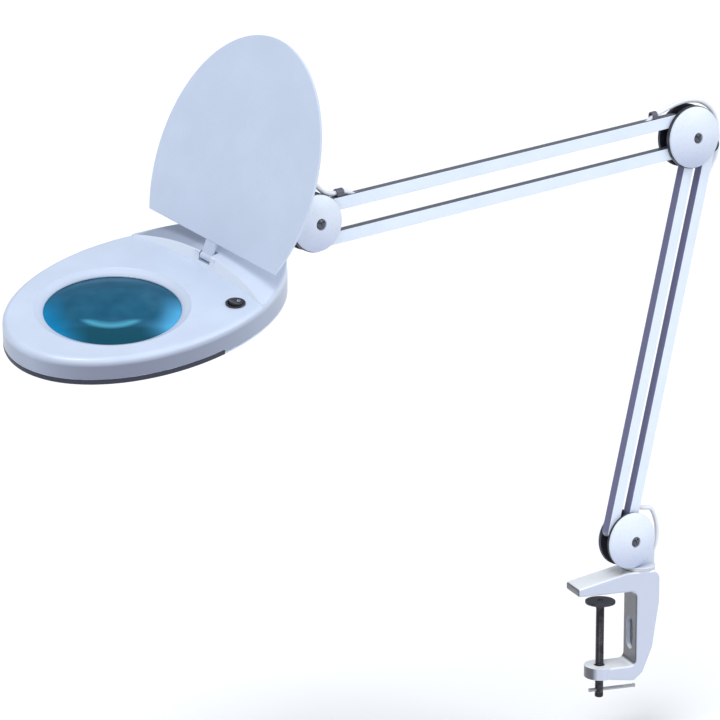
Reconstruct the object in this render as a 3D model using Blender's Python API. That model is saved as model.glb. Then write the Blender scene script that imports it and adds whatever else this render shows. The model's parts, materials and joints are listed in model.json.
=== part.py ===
"""Clamp-on magnifying lamp: table clamp, two arms of parallel tubes and an oval lens head with a lid.

Dimensions are in millimetres and degrees. add_object turns them into metres and radians.
The world origin is on the jaw's flat underside, on the axis of the clamp screw. +Z is up.
"""

from math import asin, cos, pi, radians, sin, sqrt, tau

import bmesh
import bpy
from mathutils import Matrix, Vector
from mathutils.geometry import interpolate_bezier

MM = 0.001
WELD = 1e-3
SHARP = 35
GAP = 0.3
OVERRUN = 4.0

# Table clamp
CLAMP_HALF_WIDTH = 16.5
JAW_TIP_X = -30.0
JAW_TIP_HEIGHT = 8.0
JAW_HEEL_X = 22.0
CLAMP_TOP = 19.5
CLAMP_SHOULDER = ((52.0, CLAMP_TOP), (57.0, 14.0))
SPINE_INNER_X = 32.0
SPINE_CURVE_CENTRE = (20.0, -12.0)
SPINE_CURVE_RADII = (37.0, 82.0)
SPINE_CURVE_END = -72.0
ARM_TOP = -76.5
ARM_BOTTOM = -88.0
ARM_TIP_LENGTH = 15.0
INNER_FILLET = 6.0
CLAMP_BEVEL = 1.5
BOSS_RADIUS = 16.9
BOSS_TOP = 20.2
WASHER_BOTTOM = 20.5
WASHER_TOP = 21.6
SCREW_BORE_RADIUS = 5.3
SOCKET_RADIUS = 6.3
SOCKET_BOTTOM = -20.0
GROOVE_BOTTOM = -63.0
GROOVE_TOP = -30.0
GROOVE_DEPTH = 4.0
GROOVE_HALF_WIDTH = 8.0
SCREW_RADIUS = 4.25
SCREW_TOP = -14.9
SCREW_BOTTOM = -109.6
SCREW_CHAMFER = 0.8
SCREW_TIP_RADIUS = 2.2
SCREW_TIP_TOP = -11.6
PAD_RADIUS = 15.0
PAD_TOP = -10.0
PAD_THICKNESS = 2.8
PAD_CHAMFER = 0.8
PAD_DIMPLE_RADIUS = 2.6
PAD_DIMPLE_DEPTH = 0.6
PAD_HUB_RADIUS = 5.4
PAD_HUB_BOTTOM = -14.6
TOMMY_HEIGHT = -102.0
TOMMY_RADIUS = 1.75
TOMMY_KNOB_RADIUS = 2.0
TOMMY_KNOB_LENGTH = 2.0
TOMMY_LEFT = -11.0
TOMMY_RIGHT = 38.5
TOMMY_HOLE_RADIUS = 2.1

# Swivel post
SWIVEL_X = 40.5
ARM_AZIMUTH = 15.0
WASHER_RADIUS = 16.0
WASHER_BORE_RADIUS = 6.4
POST_PIN_RADIUS = 6.0
POST_PIN_BOTTOM = -14.0
COLLAR_BOTTOM = 21.9
COLLAR_TOP = 23.6
TONGUE_HALF_WIDTH = 5.0
TONGUE_TOP_RADIUS = 4.5
TONGUE_LEFT = -11.0
TONGUE_RIGHT = 16.4
TONGUE_CORNERS = ((16.4, 38.0), (8.0, 46.0))
BASE_X = -16.3
BASE_Z = 52.0
GLAND_X = 10.0
GLAND_Z = 30.0
GLAND_STEM_RADIUS = 3.4
GLAND_BORE_RADIUS = 2.6
GLAND_STEM_INNER = 2.8
GLAND_FLANGE_RADIUS = 5.5
GLAND_FLANGE_INNER = 5.3
GLAND_FLANGE_OUTER = 6.8
GLAND_SLEEVE = ((4.2, 7.2), (3.8, 13.0))
POST_CABLE_HOLE = ((4.0, 27.8), (22.0, 39.8))

# Joint stacks: tubes and tongues in the middle, then a plate and a domed cover on each side
PLATE_INNER = 5.3
PLATE_OUTER = 8.3
COVER_INNER = 8.6
COVER_RIM = 2.2
COVER_DOME = 5.7
COVER_SHELL = 2.1
COVER_PARTS = (0.78, 0.48)
REAR_COVER_INSET = 1.5
RECESS_RADIUS = 5.3
RECESS_FLOOR = 5.0
RECESS_UNDERSIDE = 3.0
BOLT_RADIUS = 2.5
BOLT_HOLE_RADIUS = 2.8
BOLT_HEAD_RADIUS = 4.6
BOLT_HEAD_INNER = 13.9
BOLT_HEAD_OUTER = 16.2
BOLT_SLOT_WIDTH = 1.2
BOLT_SLOT_DEPTH = 1.0
BOLT_SLOT_TURN = -20.0
PIN_RADIUS = 2.0
PIN_HOLE_RADIUS = 2.3
PIN_HALF_LENGTH = 8.2
SPACER_RADIUS = 4.0
SPACER_HALF_LENGTH = 5.0
LUG_RADIUS = 7.0
BASE_COVER_RADIUS = 28.0
BASE_PLATE_RADIUS = 27.6
ELBOW_COVER_RADIUS = 30.0
ELBOW_PLATE_RADIUS = 30.8
HEAD_COVER_RADIUS = 26.5
HEAD_PLATE_RADIUS = 27.3

# Arms; pivot pairs are (x, z) from the centre of their joint's discs
TUBE_HALF_DEPTH = 6.0
TUBE_HALF_WIDTH = 5.0
TUBE_WALL = 1.1
LOWER_LENGTH = 384.4
LOWER_LEAN = 13.86
UPPER_LENGTH = 410.8
UPPER_DROOP = 4.93
BASE_LEFT_PIVOT = (-20.3, 11.0)
BASE_RIGHT_PIVOT = (2.2, 11.0)
ELBOW_LEFT_PIVOT = (2.9, -10.5)
ELBOW_RIGHT_PIVOT = (25.4, -10.5)
ELBOW_TOP_PIVOT = (-18.0, 17.8)
ELBOW_BOTTOM_PIVOT = (-18.0, -13.6)
HEAD_TOP_PIVOT = (14.5, 13.07)
HEAD_BOTTOM_PIVOT = (14.5, -18.33)
SPRING_COIL_RADIUS = 2.6
SPRING_WIRE_RADIUS = 0.5
SPRING_START = 70.0
SPRING_LENGTH = 120.0
SPRING_TURNS = 8
CLIP_SPAN = 3.2
CLIP_OUTER_RADIUS = 3.9
CLIP_INNER_RADIUS = 2.6
CLIP_ELBOW_ENDS = (-28.0, -22.0)
CLIP_HEAD_ENDS = (12.5 - UPPER_LENGTH, 20.5 - UPPER_LENGTH)
CABLE_RADIUS = 2.25
CABLE_STEP = 8.0
CABLE_HOLE_RADIUS = 3.2

# Cable runs. Exits are (across, along) a tube from its nearer pivot, loops (x, z) from a joint's centre
EXIT_RUN = ((1.0, 44.0), (2.2, 36.0), (6.6, 28.0), (9.2, 21.5))
EXIT_HOLE = ((1.2, 39.0), (10.2, 20.0))
BASE_LOOP = ((30.0, 26.0), (36.0, 16.0), (38.5, 5.0), (38.5, -5.0))
BASE_LOOP_END = ((36.2, -13.5), (31.0, -18.2), (25.0, -20.8))
ELBOW_LOOP = ((-25.5, 30.2), (-14.0, 33.4), (0.0, 34.8), (13.5, 32.8), (25.0, 26.5))
ELBOW_LOOP_END = ((32.8, 16.5), (36.3, 4.0), (37.0, -9.0), (35.5, -22.0))
CLIP_CABLE_POINT = (10.0 - UPPER_LENGTH, 0.0, 9.5)
HEAD_LOOP = ((15.0, 25.0), (8.3, 30.0), (2.6, 36.5), (0.0, 44.0), (-0.8, 52.0), (-3.0, 62.0))
HEAD_LOOP_END = ((-10.0, 71.0), (-21.0, 75.0))
HEAD_ENTRY = ((184.0, 10.0, 58.0), (170.0, 16.0, 38.0), (161.0, 17.0, 20.0), (160.0, 17.0, 7.5))
HEAD_ENTRY_HOLE = (160.0, 17.0)

# Neck
HEAD_TILT = -10.92
HEAD_SWIVEL = 6.87
HEAD_TWIST = 13.62
YOKE_BARREL_RADIUS = 7.0
YOKE_HALF_WIDTH = 5.0
YOKE_LENGTH = 36.0
YOKE_EYE_RADIUS = 6.5
CLEVIS_RADIUS = 7.0
CLEVIS_HALF_HEIGHT = 8.8
CLEVIS_WEB_INNER = -8.5
CLEVIS_WEB_OUTER = -12.0
SHAFT_RADIUS = 5.0
SHAFT_COLLAR_RADIUS = 8.0
SHAFT_COLLAR_END = -42.4
SHAFT_END = -48.36
BUSH_RADIUS = 8.5
BUSH_BORE_RADIUS = 5.3
BUSH_FLANGE_RADIUS = 11.0
BUSH_FRONT = 160.0
BUSH_REAR = 182.95
BUSH_FLANGE_REAR = 184.5

# Lens head, from the lens centre; x runs towards the neck
EYE_X = 198.36
EYE_Z = 1.18
HEAD_X = 39.35
HEAD_HALF_LENGTH = 143.3
HEAD_HALF_WIDTH = 98.4
HEAD_TOP = 2.0
SHELL = 2.5
SHOULDER = 5.0
WALL_BOTTOM = -20.7
WALL_BOTTOM_FRONT = -18.0
SPLIT_X = 45.0
UNDERSIDE = -23.5
UNDERSIDE_EDGE = 1.2
REAR_COVER_TOP = -21.0
BEZEL_TOP = -18.3
OPENING_RADIUS = 88.0
HUMP_HEIGHT = 12.0
HUMP_HALF_WIDTH = 88.0
HUMP_FRONT_X = 107.0
HUMP_FRONT_SWEEP = 7.0 / 80.0**2
HUMP_FALL = 0.12
HUMP_ROUND = 3.0
HUMP_INSET = 0.5
HUMP_END_SHELL = 1.6
HUMP_LOW = -8.0
BUSH_BOSS_RADIUS = 10.5
BUSH_BOSS_FRONT = 158.0
BUSH_BOSS_REAR = 179.5
APERTURE_RADIUS = 61.0
FLARE_RADIUS = 70.0
FLARE_BOTTOM = -2.2
LIP_RADIUS = 72.0
LIP_BOTTOM = -2.9
LENS_RADIUS = 63.5
LENS_FLAT_RADIUS = 60.2
LENS_EDGE_TOP = -3.2
LENS_EDGE_BOTTOM = -7.2
LENS_TOP = 3.0
LENS_BOTTOM = -13.0
RING_INNER_RADIUS = 63.8
RING_OUTER_RADIUS = 66.0
RING_BOTTOM = -21.0
SHELF_RADIUS = 60.5
SHELF_TOP = -7.5
SHELF_BOTTOM = -9.0
LAMP_RADIUS = 78.0
LAMP_TUBE_RADIUS = 8.0
LAMP_Z = -9.5
LAMP_END_ANGLE = 5.5
SOCKET_HALF_WIDTH = 6.2
CLIP_ANGLE = 110.0
CLIP_HALF_LENGTH = 4.0
CLIP_THICKNESS = 1.5
DIFFUSER_INNER_RADIUS = 66.3
DIFFUSER_OUTER_RADIUS = 87.5
DIFFUSER_TOP = -20.4
DIFFUSER_BOTTOM = -22.0
BALLAST_X = (95.0, 147.0)
BALLAST_HALF_WIDTH = 17.0
BALLAST_Z = (-19.0, -5.0)
SWITCH_X = 82.3
SWITCH_Y = -70.4
SWITCH_RADIUS = 8.0
SWITCH_FLANGE_RADIUS = 9.0
SWITCH_FLANGE_TOP = 3.4
SWITCH_EDGE = 0.5
SWITCH_BOTTOM = -12.0
SWITCH_WELL_RADIUS = 7.0
SWITCH_WELL_FLOOR = -2.8
ROCKER_RADIUS = 6.3
ROCKER_AXIS_Z = 1.5
ROCKER_TOP = 3.2
ROCKER_BOTTOM = -2.7
ROCKER_TILT = 9.0

# Lid, drawn closed and then turned open about its hinge
HINGE_X = 111.0
HINGE_Z = 9.5
LID_OPEN = 115.5
LID_PLANE_Z = -1.035
LID_THICKNESS = 2.5
LID_EDGE = 0.8
LID_CENTRE_X = -79.5
LID_HALF_LENGTH = 127.0
LID_HALF_WIDTH = 98.2
LID_REAR_X = -15.0
TAB_HALF_WIDTH = 6.5
TAB_BOTTOM = -1.835
TAB_TOP = 0.6
BARREL_RADIUS = 3.2
STUB_RADIUS = 1.5
STUB_HALF_LENGTH = 12.5
STUB_HOLE_RADIUS = 1.8
STUB_END_GAP = 0.2
NOTCH_HALF_WIDTH = 7.2
NOTCH_FRONT = 99.0
NOTCH_REAR = 118.5
NOTCH_FLOOR = 5.2
CHEEK_HALF_WIDTH = 13.0
CHEEK_FRONT = 107.6
CHEEK_REAR = 121.5
CHEEK_BOTTOM = 0.5
CHEEK_TOP = 12.5

FINISHES = {
    "white_paint": ((0.74, 0.80, 0.90), 0.32, 0.0),
    "white_plastic": ((0.76, 0.83, 0.94), 0.38, 0.0),
    "black_paint": ((0.02, 0.02, 0.035), 0.42, 0.0),
    "black_plastic": ((0.015, 0.015, 0.02), 0.35, 0.0),
    "navy_plastic": ((0.05, 0.06, 0.15), 0.45, 0.0),
    "steel": ((0.52, 0.53, 0.56), 0.30, 1.0),
    "zinc": ((0.62, 0.64, 0.66), 0.42, 1.0),
    "nylon": ((0.80, 0.80, 0.76), 0.50, 0.0),
    "rubber": ((0.03, 0.03, 0.03), 0.75, 0.0),
    "cable": ((0.82, 0.84, 0.88), 0.45, 0.0),
    "glass": ((0.50, 0.78, 0.82), 0.03, 0.0),
    "lamp_glass": ((0.92, 0.94, 0.96), 0.25, 0.0),
    "clear_plastic": ((0.86, 0.92, 0.96), 0.15, 0.0),
}


def add_object(name, data, parent, at, turn):
    obj = bpy.data.objects.new(name, data)
    bpy.context.scene.collection.objects.link(obj)
    obj.parent = parent
    obj.location = Vector(at) * MM
    obj.rotation_euler = [radians(angle) for angle in turn]
    return obj


def add_frame(name, parent, at, turn=(0, 0, 0)):
    return add_object(name, None, parent, at, turn)


def dress(obj, finish):
    colour, roughness, metallic = FINISHES[finish]
    material = bpy.data.materials.new(obj.name + "_" + finish)
    material.use_nodes = True
    shader = material.node_tree.nodes["Principled BSDF"]
    shader.inputs["Base Color"].default_value = (*colour, 1.0)
    shader.inputs["Roughness"].default_value = roughness
    shader.inputs["Metallic"].default_value = metallic
    obj.data.materials.append(material)


def mesh_from(name, bm):
    bmesh.ops.scale(bm, vec=(MM, MM, MM), verts=bm.verts)
    bmesh.ops.recalc_face_normals(bm, faces=bm.faces)
    mesh = bpy.data.meshes.new(name)
    bm.to_mesh(mesh)
    bm.free()
    mesh.shade_smooth()
    mesh.set_sharp_from_angle(angle=radians(SHARP))
    return mesh


def add_piece(name, bm, finish, parent=None, at=(0, 0, 0), turn=(0, 0, 0)):
    obj = add_object(name, mesh_from(name, bm), parent, at, turn)
    dress(obj, finish)
    return obj


def combine(obj, operation, bm, at=(0, 0, 0), turn=(0, 0, 0)):
    """Cuts the solid from the object, or joins it on; the tool solid stays as a hidden helper."""
    label = f"{obj.name}_{operation.lower()}_{len(obj.modifiers)}"
    helper = add_object(label, mesh_from(label, bm), obj, at, turn)
    helper.hide_render = True
    helper.display_type = "WIRE"
    modifier = obj.modifiers.new(label, "BOOLEAN")
    modifier.object = helper
    modifier.operation = operation
    modifier.solver = "EXACT"


def cut(obj, bm, at=(0, 0, 0), turn=(0, 0, 0)):
    combine(obj, "DIFFERENCE", bm, at, turn)


def join(obj, bm, at=(0, 0, 0), turn=(0, 0, 0)):
    combine(obj, "UNION", bm, at, turn)


def soften(obj, width, segments=2):
    modifier = obj.modifiers.new("soft_edges", "BEVEL")
    modifier.width = width * MM
    modifier.segments = segments
    modifier.limit_method = "ANGLE"
    modifier.angle_limit = radians(SHARP)


def arc(centre, radius, start, end, steps):
    """Points on an arc, both ends included; a pair of radii makes it elliptical."""
    across, along = radius if isinstance(radius, tuple) else (radius, radius)
    angles = [radians(start + (end - start) * i / steps) for i in range(steps + 1)]
    return [(centre[0] + across * cos(a), centre[1] + along * sin(a)) for a in angles]


def circle(centre, radius, steps):
    return arc(centre, radius, 0, 360, steps)[:-1]


def rectangle(low, high):
    return [low, (high[0], low[1]), high, (low[0], high[1])]


def loft(rings):
    """Closed solid through rings that have the same number of points."""
    bm = bmesh.new()
    layers = [[bm.verts.new(point) for point in ring] for ring in rings]
    bm.faces.new(layers[0])
    bm.faces.new(layers[-1])
    for lower, upper in zip(layers, layers[1:]):
        for i in range(len(lower)):
            bm.faces.new((lower[i - 1], lower[i], upper[i], upper[i - 1]))
    return bm


def prism(outline, low, high, axis="z"):
    """Outline pairs are (x, y) for axis z, (x, z) for axis y and (y, z) for axis x."""
    order = {"z": (0, 1, 2), "y": (0, 2, 1), "x": (2, 0, 1)}[axis]
    return loft([[tuple((a, b, level)[k] for k in order) for a, b in outline] for level in (low, high)])


def box(low, high):
    return prism(rectangle(low[:2], high[:2]), low[2], high[2])


def rod(radius, low, high, axis="z", centre=(0, 0), steps=20):
    return prism(circle(centre, radius, steps), low, high, axis)


def lathe(profile, steps, hollow=False):
    """Turns a profile of (radius, z) about z; a hollow one closes on itself."""
    bm = bmesh.new()
    verts = [bm.verts.new((radius, 0, z)) for radius, z in profile]
    pairs = list(zip(verts, verts[1:]))
    if hollow:
        pairs.append((verts[-1], verts[0]))
    edges = [bm.edges.new(pair) for pair in pairs]
    geom = verts + edges
    bmesh.ops.spin(bm, geom=geom, cent=(0, 0, 0), axis=(0, 0, 1), angle=tau, steps=steps, use_merge=True)
    bmesh.ops.remove_doubles(bm, verts=bm.verts, dist=WELD)
    return bm


def turned(bm, angle, axis):
    bmesh.ops.rotate(bm, verts=bm.verts, cent=(0, 0, 0), matrix=Matrix.Rotation(radians(angle), 3, axis))
    return bm


def slanted_rod(start, end, radius):
    """Rod in the xz plane between two (x, z) points."""
    across = Vector((end[0] - start[0], 0, end[1] - start[1]))
    bm = rod(radius, 0, across.length)
    turn = Vector((0, 0, 1)).rotation_difference(across).to_matrix()
    bmesh.ops.rotate(bm, verts=bm.verts, cent=(0, 0, 0), matrix=turn)
    bmesh.ops.translate(bm, verts=bm.verts, vec=(start[0], 0, start[1]))
    return bm


def add_tube_curve(name, points, radius, resolution, finish, parent):
    curve = bpy.data.curves.new(name, "CURVE")
    curve.dimensions = "3D"
    curve.bevel_depth = radius * MM
    curve.bevel_resolution = resolution
    curve.use_fill_caps = True
    spline = curve.splines.new("POLY")
    spline.points.add(len(points) - 1)
    for target, point in zip(spline.points, points):
        target.co = (*point, 1.0)
    obj = add_object(name, curve, parent, (0, 0, 0), (0, 0, 0))
    dress(obj, finish)
    return obj


def smooth_path(guides, step):
    """Evenly stepped points on a smooth curve through the guides."""
    points = [guides[0]]
    for i in range(len(guides) - 1):
        before = guides[max(i - 1, 0)]
        start = guides[i]
        end = guides[i + 1]
        after = guides[min(i + 2, len(guides) - 1)]
        count = max(1, round((end - start).length / step))
        leave = start + (end - before) / 6
        arrive = end - (after - start) / 6
        points += interpolate_bezier(start, leave, arrive, end, count + 1)[1:]
    return points


def add_cable(name, parent, stations):
    """Cable through (frame, point) stations, drawn in its parent's frame."""
    bpy.context.view_layer.update()
    to_parent = parent.matrix_world.inverted()
    guides = [to_parent @ frame.matrix_world @ (Vector(point) * MM) for frame, point in stations]
    return add_tube_curve(name, smooth_path(guides, CABLE_STEP * MM), CABLE_RADIUS, 2, "cable", parent)


def add_clamp():
    inner_low = (SPINE_INNER_X - INNER_FILLET, ARM_TOP + INNER_FILLET)
    inner_high = (SPINE_INNER_X - INNER_FILLET, -INNER_FILLET)
    outline = [(JAW_TIP_X, 0.0), (JAW_TIP_X, JAW_TIP_HEIGHT), (JAW_HEEL_X, CLAMP_TOP), *CLAMP_SHOULDER]
    outline += arc(SPINE_CURVE_CENTRE, SPINE_CURVE_RADII, 0, SPINE_CURVE_END, 8)
    outline += [(0.0, ARM_BOTTOM), (0.0, ARM_TOP)]
    outline += arc(inner_low, INNER_FILLET, -90, 0, 4)
    outline += arc(inner_high, INNER_FILLET, 0, 90, 4)
    clamp = add_piece("clamp_body", prism(outline, -CLAMP_HALF_WIDTH, CLAMP_HALF_WIDTH, "y"), "white_paint")
    soften(clamp, CLAMP_BEVEL, 1)
    join(clamp, prism(circle((0, 0), (ARM_TIP_LENGTH, CLAMP_HALF_WIDTH - GAP), 28), ARM_BOTTOM, ARM_TOP))
    join(clamp, rod(BOSS_RADIUS, OVERRUN, BOSS_TOP, centre=(SWIVEL_X, 0), steps=32))
    cut(clamp, rod(SCREW_BORE_RADIUS, ARM_BOTTOM - OVERRUN, ARM_TOP + OVERRUN))
    cut(clamp, rod(SOCKET_RADIUS, SOCKET_BOTTOM, BOSS_TOP + OVERRUN, centre=(SWIVEL_X, 0)))
    groove_low = (SPINE_INNER_X - OVERRUN, -GROOVE_HALF_WIDTH, GROOVE_BOTTOM)
    cut(clamp, box(groove_low, (SPINE_INNER_X + GROOVE_DEPTH, GROOVE_HALF_WIDTH, GROOVE_TOP)))
    washer = [(WASHER_BORE_RADIUS, WASHER_BOTTOM), (WASHER_RADIUS, WASHER_BOTTOM)]
    washer += [(WASHER_RADIUS, WASHER_TOP), (WASHER_BORE_RADIUS, WASHER_TOP)]
    add_piece("swivel_washer", lathe(washer, 32, hollow=True), "nylon", at=(SWIVEL_X, 0, 0))


def add_screw():
    axis = add_frame("screw_axis", None, (0, 0, 0))
    low = PAD_TOP - PAD_THICKNESS
    rim = PAD_RADIUS - PAD_CHAMFER
    side = [(PAD_RADIUS, PAD_TOP - PAD_CHAMFER), (PAD_RADIUS, low + PAD_CHAMFER)]
    dimple = PAD_TOP - PAD_DIMPLE_DEPTH
    bore = SCREW_TIP_RADIUS + GAP
    bore_end = SCREW_TIP_TOP + GAP
    profile = [(0, dimple), (PAD_DIMPLE_RADIUS, dimple), (PAD_DIMPLE_RADIUS + PAD_DIMPLE_DEPTH, PAD_TOP)]
    profile += [(rim, PAD_TOP), *side, (rim, low)]
    profile += [(PAD_HUB_RADIUS + GAP, low - GAP), (PAD_HUB_RADIUS, PAD_HUB_BOTTOM)]
    profile += [(bore, PAD_HUB_BOTTOM), (bore, bore_end), (0, bore_end)]
    add_piece("pressure_pad", lathe(profile, 28), "black_paint", axis)

    end = SCREW_RADIUS - SCREW_CHAMFER
    profile = [(0, SCREW_TIP_TOP), (SCREW_TIP_RADIUS, SCREW_TIP_TOP), (SCREW_TIP_RADIUS, SCREW_TOP)]
    profile += [(end, SCREW_TOP), (SCREW_RADIUS, SCREW_TOP - SCREW_CHAMFER)]
    profile += [(SCREW_RADIUS, SCREW_BOTTOM + SCREW_CHAMFER), (end, SCREW_BOTTOM), (0, SCREW_BOTTOM)]
    screw = add_piece("clamp_screw", lathe(profile, 20), "steel", axis)
    span = SCREW_RADIUS + OVERRUN
    cut(screw, rod(TOMMY_HOLE_RADIUS, -span, span, "x", (0, TOMMY_HEIGHT), 12))
    left = TOMMY_LEFT + TOMMY_KNOB_LENGTH
    right = TOMMY_RIGHT - TOMMY_KNOB_LENGTH
    knob = TOMMY_KNOB_RADIUS
    profile = [(0, TOMMY_LEFT), (knob, TOMMY_LEFT), (knob, left), (TOMMY_RADIUS, left)]
    profile += [(TOMMY_RADIUS, right), (knob, right), (knob, TOMMY_RIGHT), (0, TOMMY_RIGHT)]
    add_piece("tommy_bar", turned(lathe(profile, 12), 90, "Y"), "steel", axis, (0, 0, TOMMY_HEIGHT))


def add_post(swivel):
    pin_end = POST_PIN_RADIUS - 1
    profile = [(0, POST_PIN_BOTTOM), (pin_end, POST_PIN_BOTTOM), (POST_PIN_RADIUS, POST_PIN_BOTTOM + 1)]
    profile += [(POST_PIN_RADIUS, COLLAR_BOTTOM), (CLAMP_HALF_WIDTH, COLLAR_BOTTOM)]
    profile += [(CLAMP_HALF_WIDTH, COLLAR_TOP), (0, COLLAR_TOP)]
    post = add_piece("base_post", lathe(profile, 28), "white_paint", swivel)
    outline = [(TONGUE_LEFT, COLLAR_TOP - 1), (TONGUE_RIGHT, COLLAR_TOP - 1), *TONGUE_CORNERS]
    outline += arc((BASE_X, BASE_Z), TONGUE_TOP_RADIUS, 70, 235, 8)
    join(post, prism(outline, -TONGUE_HALF_WIDTH, TONGUE_HALF_WIDTH, "y"))
    cut(post, rod(BOLT_HOLE_RADIUS, -2 * OVERRUN, 2 * OVERRUN, "y", (BASE_X, BASE_Z), 16))
    cut(post, slanted_rod(*POST_CABLE_HOLE, CABLE_HOLE_RADIUS))
    cut(post, rod(GLAND_STEM_RADIUS + GAP, -1.0, 2 * OVERRUN, "y", (GLAND_X, GLAND_Z), 16))
    profile = [(GLAND_BORE_RADIUS, GLAND_STEM_INNER), (GLAND_STEM_RADIUS, GLAND_STEM_INNER)]
    profile += [(GLAND_STEM_RADIUS, GLAND_FLANGE_INNER), (GLAND_FLANGE_RADIUS, GLAND_FLANGE_INNER)]
    profile += [(GLAND_FLANGE_RADIUS, GLAND_FLANGE_OUTER), *GLAND_SLEEVE]
    profile += [(GLAND_BORE_RADIUS, GLAND_SLEEVE[-1][1])]
    gland = turned(lathe(profile, 16, hollow=True), -90, "X")
    add_piece("cord_gland", gland, "rubber", swivel, (GLAND_X, 0, GLAND_Z))


def add_cover(name, radius, side, parent):
    """Domed cover with a bolt recess; side is -1 for the front and 1 for the rear."""

    def dome(r):
        return COVER_RIM + COVER_DOME * (1 - (r / radius) ** 2)

    outer, inner = [part * radius for part in COVER_PARTS]
    profile = [(radius, 0), (radius, COVER_RIM), (outer, dome(outer)), (inner, dome(inner))]
    profile += [(RECESS_RADIUS, dome(RECESS_RADIUS)), (RECESS_RADIUS, RECESS_FLOOR)]
    profile += [(BOLT_HOLE_RADIUS, RECESS_FLOOR), (BOLT_HOLE_RADIUS, RECESS_UNDERSIDE)]
    profile += [(inner, dome(inner) - COVER_SHELL), (radius - COVER_SHELL, 0)]
    shell = turned(lathe(profile, 22, hollow=True), -90 * side, "X")
    add_piece(name, shell, "white_paint", parent, (0, side * COVER_INNER, 0))


def add_plate(name, radius, side, pivots, parent, lug=None):
    low, high = sorted((side * PLATE_INNER, side * PLATE_OUTER))
    plate = add_piece(name, rod(radius, low, high, "y", steps=28), "black_paint", parent)
    if lug:
        join(plate, rod(LUG_RADIUS, low, high, "y", lug, 18))
    cut(plate, rod(BOLT_HOLE_RADIUS, low - 1, high + 1, "y", steps=14))
    for pivot in pivots:
        cut(plate, rod(PIN_HOLE_RADIUS, low - 1, high + 1, "y", pivot, 12))


def add_bolt(name, parent):
    head = [(BOLT_HEAD_RADIUS, BOLT_HEAD_INNER), (BOLT_HEAD_RADIUS, BOLT_HEAD_OUTER - 1)]
    head += [(BOLT_HEAD_RADIUS - 1, BOLT_HEAD_OUTER), (0, BOLT_HEAD_OUTER)]
    shank = [(BOLT_RADIUS, BOLT_HEAD_INNER)]
    far_side = [(radius, -z) for radius, z in reversed(shank + head)]
    bolt = add_piece(name, turned(lathe(far_side + shank + head, 14), 90, "X"), "steel", parent)
    slot_floor = -BOLT_HEAD_OUTER + BOLT_SLOT_DEPTH
    reach = BOLT_HEAD_RADIUS + 1
    half = BOLT_SLOT_WIDTH / 2
    slot = box((-half, -BOLT_HEAD_OUTER - 1, -reach), (half, slot_floor, reach))
    cut(bolt, slot, turn=(0, BOLT_SLOT_TURN, 0))


def add_pin(name, pivot, parent):
    pin = rod(PIN_RADIUS, -PIN_HALF_LENGTH, PIN_HALF_LENGTH, "y", steps=12)
    add_piece(name, pin, "steel", parent, (pivot[0], 0, pivot[1]))


def add_joint(prefix, cover_radius, plate_radius, pivots, parent, lug=None):
    for label, side in (("front", -1), ("rear", 1)):
        add_plate(f"{prefix}_plate_{label}", plate_radius, side, list(pivots.values()), parent, lug)
        inset = REAR_COVER_INSET if side > 0 else 0
        add_cover(f"{prefix}_cover_{label}", cover_radius - inset, side, parent)
    add_bolt(f"{prefix}_bolt", parent)
    for label, pivot in pivots.items():
        add_pin(f"{prefix}_pin_{label}", pivot, parent)


def add_tube(name, length, turn, parent, cable_holes=()):
    """Box tube along +z before it is turned; cable holes are (start, end) pairs in the same frame."""
    ends = arc((0, length), TUBE_HALF_DEPTH, 0, 180, 8) + arc((0, 0), TUBE_HALF_DEPTH, 180, 360, 8)
    solid = turned(prism(ends, -TUBE_HALF_WIDTH, TUBE_HALF_WIDTH, "y"), turn, "Y")
    tube = add_piece(name, solid, "white_paint", parent)
    inner_depth = TUBE_HALF_DEPTH - TUBE_WALL
    inner_width = TUBE_HALF_WIDTH - TUBE_WALL
    run = 2 * TUBE_HALF_DEPTH
    hollow = box((-inner_depth, -inner_width, -run), (inner_depth, inner_width, length + run))
    cut(tube, turned(hollow, turn, "Y"))
    for height in (0, length):
        hole = rod(PIN_HOLE_RADIUS, -2 * TUBE_HALF_WIDTH, 2 * TUBE_HALF_WIDTH, "y", (0, height), 12)
        cut(tube, turned(hole, turn, "Y"))
    for start, end in cable_holes:
        cut(tube, turned(slanted_rod(start, end, CABLE_HOLE_RADIUS), turn, "Y"))


def add_spring(name, turn, parent):
    steps = 5 * SPRING_TURNS
    spin = Matrix.Rotation(radians(turn), 3, "Y")
    points = []
    for i in range(steps + 1):
        angle = tau * SPRING_TURNS * i / steps
        across = SPRING_COIL_RADIUS * cos(angle)
        depth = SPRING_COIL_RADIUS * sin(angle)
        along = SPRING_START + SPRING_LENGTH * i / steps
        points.append(spin @ Vector((across, depth, along)) * MM)
    add_tube_curve(name, points, SPRING_WIRE_RADIUS, 0, "steel", parent)


def add_saddle(name, low, high, parent):
    """Cable saddle on the upper face of the upper tube."""
    centre = (0, TUBE_HALF_DEPTH + CLIP_SPAN)
    foot = TUBE_HALF_DEPTH + GAP
    outer = CLIP_OUTER_RADIUS
    inner = CLIP_INNER_RADIUS
    outline = [(outer, foot)] + arc(centre, outer, 0, 180, 8) + [(-outer, foot)]
    outline += [(-inner, foot)] + arc(centre, inner, 180, 0, 8) + [(inner, foot)]
    add_piece(name, prism(outline, low, high, "x"), "black_plastic", parent)


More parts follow.
